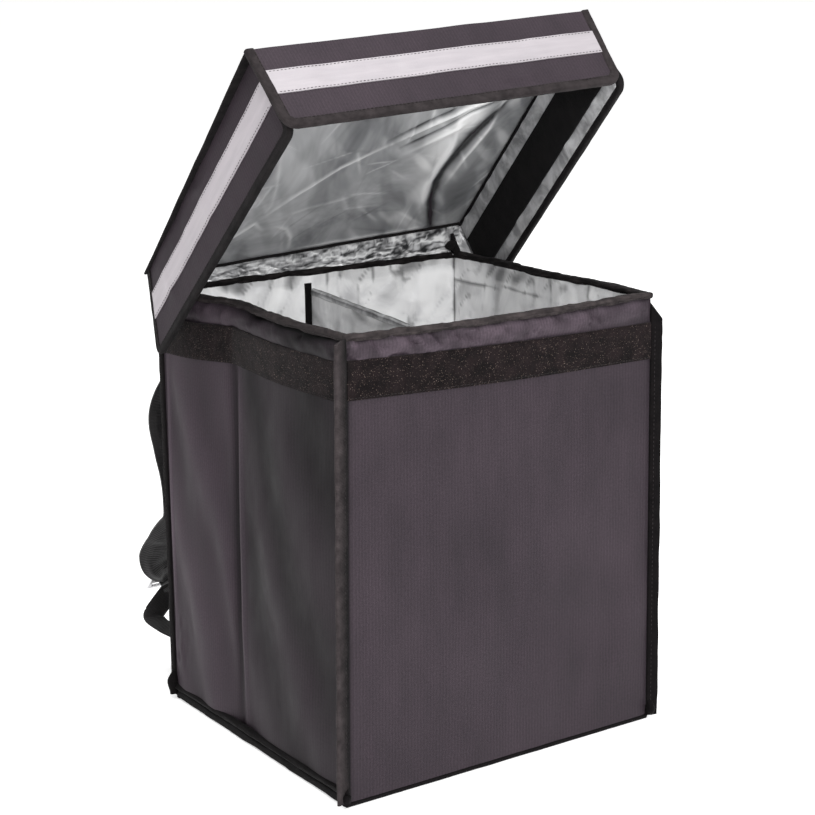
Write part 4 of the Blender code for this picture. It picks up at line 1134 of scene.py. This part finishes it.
def skirt_relief(name, x, n):
    relief = 0.0007 * fractal(x / 0.05, n / 0.06, 31)
    if name == "front":
        relief += 0.0012 * ridge(x, n, [(0.045, 0.066), (0.075, 0.074), (0.100, 0.068)], 0.006)
        relief -= 0.0008 * ridge(x, n, [(0.05, 0.080), (0.09, 0.083)], 0.004)
    if name == "left":
        relief += 0.0018 * ridge(x, n, [(0.14, 0.012), (0.17, 0.022), (0.20, 0.020)], 0.006)
        relief += 0.0012 * ridge(x, n, [(0.16, 0.03), (0.165, 0.06)], 0.007)
        relief += 0.0012 * ridge(x, n, [(0.04, 0.03), (0.05, 0.065)], 0.007)
    return relief


def skirt_grid(ends, top, bottom, margin, grain):
    """Places on a skirt, as x along it and n down it."""
    levels = np.linspace(top, bottom, max(round((bottom - top) / grain), 3))
    shares = np.linspace(0, 1, round(LID_WIDTH / grain))
    share, n = np.meshgrid(shares, levels)
    first, last = ends(n)
    return mix(first + margin, last - margin, share), n


def make_skirts():
    for name, (place, ends) in SKIRTS.items():
        x, n = skirt_grid(ends, 0.0006, SKIRT_HEIGHT - 0.003, 0.003, 0.0026)
        relief = skirt_relief(name, x, n)
        part = sheet_on(place, x, n, -relief, SKIRT_THICKNESS - relief * 0.3)
        made = piece(f"skirt_cloth_{name}", [part], CLOTH, [f"lid_skirt_{name}"])

        x, n = skirt_grid(ends, STRIPE_TOP, STRIPE_TOP + STRIPE_WIDTH, 0.0088, 0.003)
        relief = skirt_relief(name, x, n)
        kinks = 0.0002 * fractal(x / 0.02, n / 0.02, 3)
        part = sheet_on(place, x, n, -0.0012 - relief - kinks, -relief + 0.0003)
        look = STRIPE_FRONT if name == "front" else STRIPE
        piece(f"reflector_{name}", [part], look, [f"stripe_{name}"])

        x, n = skirt_grid(ends, 0.0137, SKIRT_HEIGHT - 0.006, 0.0075, 0.0026)
        face = SKIRT_THICKNESS + 0.0006
        gather = crumple(x, n, 61 + len(name), 120, 0.05, 0.008) * 0.0008
        gather += 0.0006 * noise(x / 0.01, n / 0.03, 5)
        wrinkles = np.clip(gather + 0.0006, 0, 0.003)
        part = sheet_on(place, x, n, face + 0.0009 + wrinkles, face + wrinkles * 0.5)
        # Painted highlight on the raised wrinkles of the lining.
        tones = both_sides(np.clip(wrinkles / 0.003, 0, 1) ** 2)
        lining = f"lid_lining_{name}"
        made = piece(f"skirt_foil_{name}", [part], FOIL_SKIRT, [lining], tones)

        x, n = skirt_grid(ends, LOOP_TOP, LOOP_TOP + LOOP_WIDTH, 0.0108, 0.0026)
        face = face + 0.0012 + SEAM
        nap = 0.0002 * noise(x / 0.0024, n / 0.0024, 6) + 0.0003 * fractal(x / 0.05, n / 0.05, 3)
        part = sheet_on(place, x, n, face + 0.0020 + nap, face)
        piece(f"loop_pile_{name}", [part], LOOP, [f"loop_tape_{name}"])


def skirt_edge(ends, grain=0.003):
    """The path round a skirt's two ends and lower edge, with its inner side."""
    n = np.linspace(0.0, SKIRT_HEIGHT - SKIRT_CORNER, 26)
    first, last = ends(n)
    path = list(zip(last, n))
    turn = np.linspace(0, math.pi / 2, 8)[1:]
    corner_n = SKIRT_HEIGHT - SKIRT_CORNER + SKIRT_CORNER * np.sin(turn)
    path += list(zip(ends(corner_n)[1], corner_n))
    low = ends(np.array([SKIRT_HEIGHT]))
    count = round((low[1][0] - low[0][0]) / grain)
    path += [(x, SKIRT_HEIGHT) for x in np.linspace(low[1][0], low[0][0], count)[1:]]
    path += list(zip(ends(corner_n)[0], corner_n))[::-1][1:]
    path += list(zip(first, n))[::-1]
    path = np.array(path, float)
    ahead = unit(np.gradient(path, axis=0))
    inner = np.stack([-ahead[:, 1], ahead[:, 0]], -1)
    middle = np.array([(low[0][0] + low[1][0]) / 2, SKIRT_HEIGHT / 2])
    if ((middle - path) * inner).sum() < 0:
        inner = -inner
    return path, inner


def make_skirt_edges():
    for name, (place, ends) in SKIRTS.items():
        path, inner = skirt_edge(ends)
        profile = rounded_box(0.0, EDGE_WIDTH, -0.0011, SKIRT_THICKNESS + 0.0008, 0.0024, 4)
        run = run_along(path)
        share, index, across, depth = around(profile, np.arange(len(path)))
        x = run[share]
        waver = 0.0004 * fractal(x / 0.02, index * 0.3, 9)
        depth += waver * np.where(depth > 0.002, 1, -1)
        across += 0.0005 * fractal(x / 0.04, 0 * x, 8) * (across > EDGE_WIDTH / 2)
        spots = path[share] + inner[share] * across[..., None]
        points = place(spots[..., 0], np.maximum(spots[..., 1], 0.0), depth)
        uv = uv_of(x, run_along(profile)[None, :])
        # The side skirts take the near-black binding, a darker copy of the front's: painted shade.
        look = BINDING if name == "front" else BINDING_DARK
        piece(f"skirt_tape_{name}", [tube(points, uv)], look, [f"lid_binding_{name}"])


def make_lid_edges():
    for name in ("left", "right"):
        place = SKIRTS[name][0]
        f = np.linspace(0.0, SKIRT_FRONT, 130)
        width = skirt_inset(f) - 0.0002
        profile = rounded_box(0.0, 1.0, 0.0, 1.0, 0.3, 3)
        out, down = np.array(profile).T[:, None, :]
        out, down = out * (width[:, None] + 0.002) - 0.002, down * EDGE_THICKNESS
        waver = 0.0005 * fractal(f / 0.03, 0 * f, 7)[:, None]
        points = place(f[:, None], down + waver, -out)
        uv = uv_of(f[:, None], np.arange(len(profile))[None, :] * 0.001)
        # Near-black binding on the side flaps: painted shade on their undersides.
        piece(f"lid_trim_{name}", [tube(points, uv)], BINDING_DARK, [f"lid_edge_{name}"])


def hinge_low(share, inset=0.003):
    half = BODY_WIDTH / 2 - inset
    along = 0.5 - mix(-half, half, share) / BODY_WIDTH
    return wall_at("back", along, np.full(np.shape(share), BODY_HEIGHT), -0.003)


def make_hinge():
    share, rise = np.meshgrid(np.linspace(0, 1, 150), np.linspace(0, 1, 14))
    half = lid_half(0.0, SKIRT_THICKNESS)
    high = lid_at(mix(-half, half, share), 0.0, LID_THICKNESS - 0.001)
    low = hinge_low(share) - np.array((0, 0, 0.002))
    middle = mix(low, high, rise[..., None])
    wave = 0.0009 * fractal(share * 22, rise * 2, 5) * np.sin(np.pi * rise)
    bulge = 0.0016 * np.sin(np.pi * rise)
    outer, inner = middle.copy(), middle.copy()
    outer[..., 1] += 0.0017 + wave + bulge
    inner[..., 1] += 0.0004 + wave + bulge
    uv = uv_of(share * LID_WIDTH, rise * 0.03)
    piece("hinge_cloth", [slab(outer, inner, uv)], CLOTH, ["lid_hinge"])

    share, rise = np.meshgrid(np.linspace(0, 1, 210), np.linspace(0, 1, 18))
    half = lid_half(0.0, SKIRT_THICKNESS + 0.0012)
    high = lid_at(mix(-half, half, share), 0.004, LID_THICKNESS + 0.0016)
    low = hinge_low(share, 0.006) - np.array((0, 0.0035, 0.0015))
    middle = mix(low, high, rise[..., None])
    normal = np.array((0.0, -0.8, -0.6))
    x, y = share * 0.39, rise * 0.03
    folds = crumple(x, y, 71, 170, 0.020, 0.0045) * mix(0.0012, 0.0026, share)
    sag = 0.003 * np.sin(np.pi * rise)
    out = np.clip(folds, -0.002, 0.0045) * np.sin(np.pi * rise) ** 0.5 + sag
    front = middle + normal * out[..., None]
    back = front - normal * 0.0006
    glint = veins(x / 0.022 + y / 0.02, y / 0.006, 12, 0.3)
    glint += 0.8 * veins(x / 0.012, y / 0.004, 13, 0.25)
    shade = 0.9 * veins(x / 0.026 - y / 0.02, y / 0.006, 14, 0.35)
    shade += 0.6 * veins(x / 0.009, y / 0.005, 17, 0.25)
    tones = both_sides(np.clip((1.3 * glint - 1.5 * shade) * mix(0.5, 1.1, share), -1, 1))
    made = piece("hinge_foil", [slab(front, back, uv_of(x, y))], FOIL_SKIRT, (), tones)


def make_gussets():
    """The bunched corners where the lid's side flaps meet the body."""
    parts, tones, knots = [], [], []
    for side, place in ((-1, left_skirt_at), (1, right_skirt_at)):
        rise, share = np.meshgrid(np.linspace(0, 1, 26), np.linspace(0, 1, 22))
        n = 0.003 + 0.055 * rise
        flap = place(-SKIRT_REAR * n / SKIRT_HEIGHT + 0.006, n, SKIRT_THICKNESS + 0.0008)
        end = 0.5 + side * 0.47
        high = lid_at(side * (lid_half(0.0, 0.010)), 0.004, LID_THICKNESS + 0.0012)
        low = hinge_low(np.array(end), 0.004) - np.array((0, 0.004, 0.001))
        inner = mix(high, low, rise[..., None])
        fold = 0.0016 * noise(share * 3 + rise * 2, rise * 7, 6) * np.sin(np.pi * share)
        points = mix(inner, flap, share[..., None])
        points[..., 1] -= fold
        points[..., 2] -= 0.5 * fold
        behind = points + np.array((0, 0.0006, 0.0004))
        parts.append(slab(points, behind, uv_of(share * 0.03, rise * 0.05)))
        # Painted highlights and painted shade along fold lines.
        tone = veins(share * 3, rise * 5 + share, 4, 0.3) - 0.9 * veins(share * 4 + rise, rise * 4, 9, 0.3)
        tones.append(both_sides(np.clip(tone, -0.9, 0.9)).ravel())
        start = hinge_low(np.array(0.5 + side * 0.485), 0.003)
        t = np.linspace(0, 1, 14)
        bent = [side * (0.012 * t - 0.006), 0 * t - 0.006, 0.003 + 0.004 * np.sin(5 * t)]
        radius = 0.0055 + 0.0016 * noise(t * 5, 0 * t, 3 + side)
        knots.append(rod(start + np.stack(bent, -1), radius, 12))
        t = np.linspace(0, 1, 10)
        upright = [side * (0.004 - 0.004 * t), -0.003 + 0 * t, 0.004 + 0.016 * t]
        knots.append(rod(start + np.stack(upright, -1), 0.0042 - 0.0022 * t, 10))
    piece("hinge_gusset", parts, FOIL_SKIRT, (), np.concatenate(tones))
    piece("hinge_knot", knots, BINDING_DARK)


def rod(spots, radius, sides=8):
    """A round cord along a line of places."""
    spots = np.asarray(spots, float)
    ahead = unit(np.gradient(spots, axis=0))
    side = unit(np.cross(ahead, (0.31, 0.21, 0.93)))
    up = np.cross(ahead, side)
    turn = np.linspace(0, 2 * math.pi, sides, endpoint=False)
    ring = side[:, None] * np.cos(turn)[None, :, None] + up[:, None] * np.sin(turn)[None, :, None]
    points = spots[:, None] + ring * np.broadcast_to(radius, (len(spots),))[:, None, None]
    run = run_along(spots)
    return tube(points, uv_of(run[:, None], turn[None, :] * 0.002))


def make_lid_seams():
    """The black tapes along the inner corners of the lid."""
    parts = []
    f = np.linspace(0.004, SKIRT_FRONT - 0.004, 110)
    for place in (left_skirt_at, right_skirt_at):
        waver = fractal(f / 0.03, 0 * f, 3)
        line = place(f, LID_SEAM_DEPTH + 0.0005 * waver, SKIRT_THICKNESS + 0.0022)
        parts.append(rod(line, 0.0012 + 0.0003 * waver))
    half = lid_half(0.0, SKIRT_THICKNESS + 0.003)
    a = np.linspace(-half, half, 120)
    f = 0.0065 + 0.0008 * fractal(a / 0.04, 0 * a, 4)
    parts.append(rod(lid_at(a, f, LID_THICKNESS + 0.0028), 0.0016))
    half = lid_half(SKIRT_FRONT, SKIRT_THICKNESS + 0.003)
    a = np.linspace(-half, half, 120)
    parts.append(rod(lid_at(a, SKIRT_FRONT - 0.0022, LID_SEAM_DEPTH + 0 * a), 0.0016))
    piece("lid_seam_tape", parts, BINDING_DARK)


# Straps


def catmull(points, steps):
    points = np.array(points, float)
    padded = np.concatenate([[2 * points[0] - points[1]], points, [2 * points[-1] - points[-2]]])
    t = np.linspace(0, 1, steps, endpoint=False)[:, None]
    route = []
    for before, here, after, beyond in zip(padded, padded[1:], padded[2:], padded[3:]):
        curve = 2 * here + (after - before) * t + (2 * before - 5 * here + 4 * after - beyond) * t**2
        route.append(0.5 * (curve + (3 * here - before - 3 * after + beyond) * t**3))
    return np.concatenate([*route, points[-1:]])


def strap_spots(route, side, thickness):
    rows = np.array(route)
    share = 0.5 - side * rows[:, 0] / 2
    spots = wall_at("back", share, rows[:, 2] * BODY_HEIGHT, thickness / 2 + TAPE_GAP)
    spots[:, 1] += STRAP_BOW * rows[:, 1]
    return spots


def band(spots, width, thickness, sideways, flange=0.0, lumps=0.0, seed=0):
    """A flat or padded band: width and thickness may change along it."""
    ahead = unit(np.gradient(spots, axis=0))
    side = unit(sideways(ahead))
    normal = np.cross(ahead, side)
    run = run_along(spots)
    half = (np.broadcast_to(width, run.shape) / 2)[:, None]
    s = np.linspace(-1, 1, 19)
    inner = np.clip(1 - np.abs(s) * (1 + flange), 0, 1)
    if flange:
        thin, shape = 0.0011, np.clip(np.sin(np.pi / 2 * np.clip(inner * 3.2, 0, 1)), 0, 1)
    else:
        thin, shape = 0.0, np.sqrt(np.clip(1 - s**8, 0, 1))
    full = (np.broadcast_to(thickness, run.shape) / 2)[:, None]
    rise = thin + (full - thin) * shape[None, :]
    x = half * s[None, :]
    middle = spots[:, None] + side[:, None] * x[..., None]
    faces = []
    for way, draw in ((1, seed), (-1, seed + 5)):
        dent = lumps * fractal(run[:, None] / 0.035, x / 0.03, draw) * shape[None, :]
        faces.append(middle + way * normal[:, None] * (rise + dent)[..., None])
    return slab(*faces, uv_of(x, run[:, None]))


def level_with_panel(ahead):
    return np.stack([-ahead[:, 2], 0 * ahead[:, 0], ahead[:, 0]], -1)


def level_with_floor(ahead):
    return np.array((1.0, 0, 0)) - ahead * ahead[:, :1]


def make_straps():
    for name, side in (("left", -1), ("right", 1)):
        spots = catmull(strap_spots(STRAP_ROUTE, side, STRAP_THICKNESS), 14)
        share = np.linspace(0, 1, len(spots))
        narrowing = np.clip((share - STRAP_TAPER_START) / (1 - STRAP_TAPER_START), 0, 1)
        width = STRAP_WIDTH * mix(1.0, STRAP_END_SHARE, narrowing)
        thickness = STRAP_THICKNESS * (1 + 0.4 * fractal(share * 13, 0 * share, 3 + side))
        parts = [band(spots, width, thickness, level_with_panel, 0.10, 0.0030, 4)]
        made = piece(f"strap_pad_{name}", parts, STRAP, [f"shoulder_strap_{name}"], sharp=60)
        coarse = catmull(strap_spots(STRAP_ROUTE, side, STRAP_THICKNESS), 2)
        end = coarse[-1]
        down = unit(end - coarse[-2])
        across = unit(np.array((1.0, 0, 0)) - down * down[0])
        outward = np.cross(across, down)
        lift = BUCKLE_THICKNESS / 2 + WEBBING_THICKNESS / 2 + 0.0003
        slot = (BUCKLE_LENGTH - 3 * BUCKLE_WALL) / 2
        bar = BUCKLE_WALL / 2
        # down and out from the strap's end: the tab over the top bar
        tab_route = (
            (-0.020, 0.0062),
            (-0.008, 0.0046),
            (bar - 0.002, lift),
            (BUCKLE_WALL + 0.0018, lift - 0.001),
            (BUCKLE_WALL + 0.0026, 0.0),
            (BUCKLE_WALL + 0.0014, 0.001 - lift),
            (bar - 0.003, -lift),
            (-0.010, -0.0050),
            (-0.020, -0.0060),
        )
        over = [end + down * d + outward * o for d, o in tab_route]
        width = WEBBING_WIDTH * 0.96
        tab = band(catmull(over, 6), width, WEBBING_THICKNESS, lambda ahead: 0 * ahead + across)
        piece(f"strap_tab_{name}", [tab], WEBBING)
        webbing = catmull(strap_spots(WEBBING_ROUTE, side, WEBBING_THICKNESS), 8)
        middle_bar = BUCKLE_WALL + slot + bar
        # down and out from the strap's end: the webbing round the middle bar
        webbing_route = (
            (BUCKLE_LENGTH + 0.012, -lift - 0.0012),
            (BUCKLE_LENGTH - 0.002, -lift),
            (BUCKLE_LENGTH - BUCKLE_WALL - slot / 2, -0.0002),
            (middle_bar + 0.0015, lift - 0.0002),
            (middle_bar - 0.0015, lift - 0.0002),
            (BUCKLE_WALL + slot * 0.62, 0.0003),
            (middle_bar, -lift),
            (BUCKLE_LENGTH + WEBBING_THICKNESS, 0.0),
        )
        lead = [end + down * d + outward * o for d, o in webbing_route]
        lead += list(webbing[3:])
        line = catmull(lead, 5)
        parts = [band(line, WEBBING_WIDTH, WEBBING_THICKNESS, level_with_floor, 0.0, 0.0003, 6)]
        piece(f"strap_webbing_{name}", parts, WEBBING, [f"lower_webbing_{name}"])
        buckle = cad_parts[f"strap_buckle_{name}"]
        buckle.data.materials.clear()
        buckle.data.materials.append(STEEL)


# Stitching


def stitches(spots, normals, length=0.0030, gap=0.0016, radius=0.00042):
    """Short raised threads along a line of places."""
    spots, normals = np.asarray(spots, float), np.asarray(normals, float)
    run = run_along(spots)
    starts = np.arange(gap, run[-1] - length, length + gap)
    t = np.linspace(0, 1, 4)
    swell = np.array([0.35, 1.0, 1.0, 0.35])
    parts = []
    turn = np.linspace(0, 2 * math.pi, 6, endpoint=False)
    for start in starts:
        at = start + t * length
        line = np.stack([np.interp(at, run, spots[:, k]) for k in range(3)], -1)
        up = np.array([np.interp(start + length / 2, run, normals[:, k]) for k in range(3)])
        up, ahead = unit(up), unit(line[-1] - line[0])
        side = np.cross(ahead, up)
        ring = side[None, :] * np.cos(turn)[:, None] + up[None, :] * np.sin(turn)[:, None]
        points = line[:, None] + ring[None] * (radius * swell)[:, None, None]
        parts.append(tube(points, uv_of(at[:, None], turn[None, :] * 0.001)))
    return parts


def make_stitches():
    parts = []
    for wall in WALLS:
        share = np.linspace(0.01, 0.99, 120)
        outward = np.broadcast_to(np.array(WALLS[wall][2], float), (120, 3))
        rim = wall_at(wall, share, np.full(120, ROLL_TOP + 0.0014), RIM_OUT + 0.0001)
        parts += stitches(rim, outward)
        if wall != "back":
            z = HOOK_BOTTOM + 0.0022 + hook_shift(wall, share)
            line = wall_at(wall, share, z, TAPE_GAP + TAPE_THICKNESS + 0.0001)
            parts += stitches(line, outward, 0.0026, 0.0014, 0.00028)
    piece("rim_thread", parts, THREAD)
    parts = []
    for name in CORNERS:
        ahead, beside = corner_ways(name)
        z = np.linspace(0.010, RIM_FOOT - 0.02, 160)
        for turn in (-1, 1):
            line = corner_at(name, z) + ahead * 0.0034 + beside * turn * 0.0021
            parts += stitches(line, np.broadcast_to(beside * turn, (160, 3)), 0.0028, 0.0018, 0.00036)
    piece("corner_thread", parts, THREAD)
    parts = []
    for name, (place, ends) in SKIRTS.items():
        path, inner = skirt_edge(ends)
        line = path + inner * 0.0082
        keep = line[:, 1] > 0.001
        line = line[keep]
        spots = place(line[:, 0], line[:, 1], -0.0012)
        normals = place(line[:, 0], line[:, 1], -0.0112) - spots
        parts += stitches(spots, normals)
        for n in (STRIPE_TOP + 0.0016, STRIPE_TOP + STRIPE_WIDTH - 0.0016):
            levels = np.full(120, n)
            first, last = ends(levels)
            x = mix(first + 0.010, last - 0.010, np.linspace(0, 1, 120))
            relief = skirt_relief(name, x, levels)
            spots = place(x, levels, -0.0013 - relief)
            parts += stitches(spots, place(x, levels, -0.0113 - relief) - spots, 0.0026, 0.0016, 0.0003)
    piece("skirt_thread", parts, THREAD)


# Floor, light and camera


def make_stage():
    mesh = bpy.data.meshes.new("floor")
    far = FLOOR_REACH
    ring = [(-far, -far, 0), (far, -far, 0), (far, far, 0), (-far, far, 0)]
    mesh.from_pydata(ring, [], [(0, 1, 2, 3)])
    mesh.materials.append(floor_look())
    floor = bpy.data.objects.new("floor", mesh)
    bpy.context.scene.collection.objects.link(floor)
    world = bpy.data.worlds.new("studio")
    bpy.context.scene.world = world
    world.use_nodes = True
    sky = world.node_tree.nodes["Background"].inputs
    sky["Color"].default_value = (1, 1, 1, 1)
    sky["Strength"].default_value = WORLD_LIGHT
    for name, place, aim, size, power in (
        ("softbox_top", (-0.3, -0.5, 3.0), (0.0, 0.0, 0.3), 2.4, 80),
        ("softbox_front", (-0.6, -3.1, 1.9), (0.0, 0.0, 0.4), 1.4, 80),
    ):
        data = bpy.data.lights.new(name, "AREA")
        data.shape = "SQUARE"
        data.size = size
        data.energy = power
        lamp = bpy.data.objects.new(name, data)
        lamp.location = place
        lamp.rotation_euler = (Vector(aim) - Vector(place)).to_track_quat("-Z", "Y").to_euler()
        bpy.context.scene.collection.objects.link(lamp)


def make_camera():
    yaw, pitch, roll = (math.radians(turn) for turn in CAMERA_TURN)
    level = Vector((math.cos(yaw), -math.sin(yaw), 0))
    ahead = Vector((math.sin(yaw), math.cos(yaw), 0)) * math.cos(pitch) - Vector((0, 0, math.sin(pitch)))
    above = level.cross(ahead)
    right = level * math.cos(roll) + above * math.sin(roll)
    up = above * math.cos(roll) - level * math.sin(roll)
    data = bpy.data.cameras.new("camera")
    data.sensor_width = SENSOR_MM
    data.sensor_fit = "HORIZONTAL"
    data.lens = FOCAL_PIXELS / PICTURE_PIXELS * SENSOR_MM
    data.clip_end = 200
    camera = bpy.data.objects.new("camera", data)
    turned = Matrix((right, up, -ahead)).transposed().to_4x4()
    turned.translation = Vector(CAMERA_PLACE)
    camera.matrix_world = turned
    bpy.context.scene.collection.objects.link(camera)
    bpy.context.scene.camera = camera
    bpy.context.scene.view_settings.view_transform = "Standard"


make_camera()
make_stage()
make_walls()
make_rim()
make_hook_tapes()
make_corners()
make_foot()
make_base()
make_body_foil()
make_divider()
make_lid_panel()
make_lid_foil()
make_skirts()
make_skirt_edges()
make_lid_edges()
make_hinge()
make_gussets()
make_lid_seams()
make_straps()
make_stitches()

bpy.context.view_layer.update()
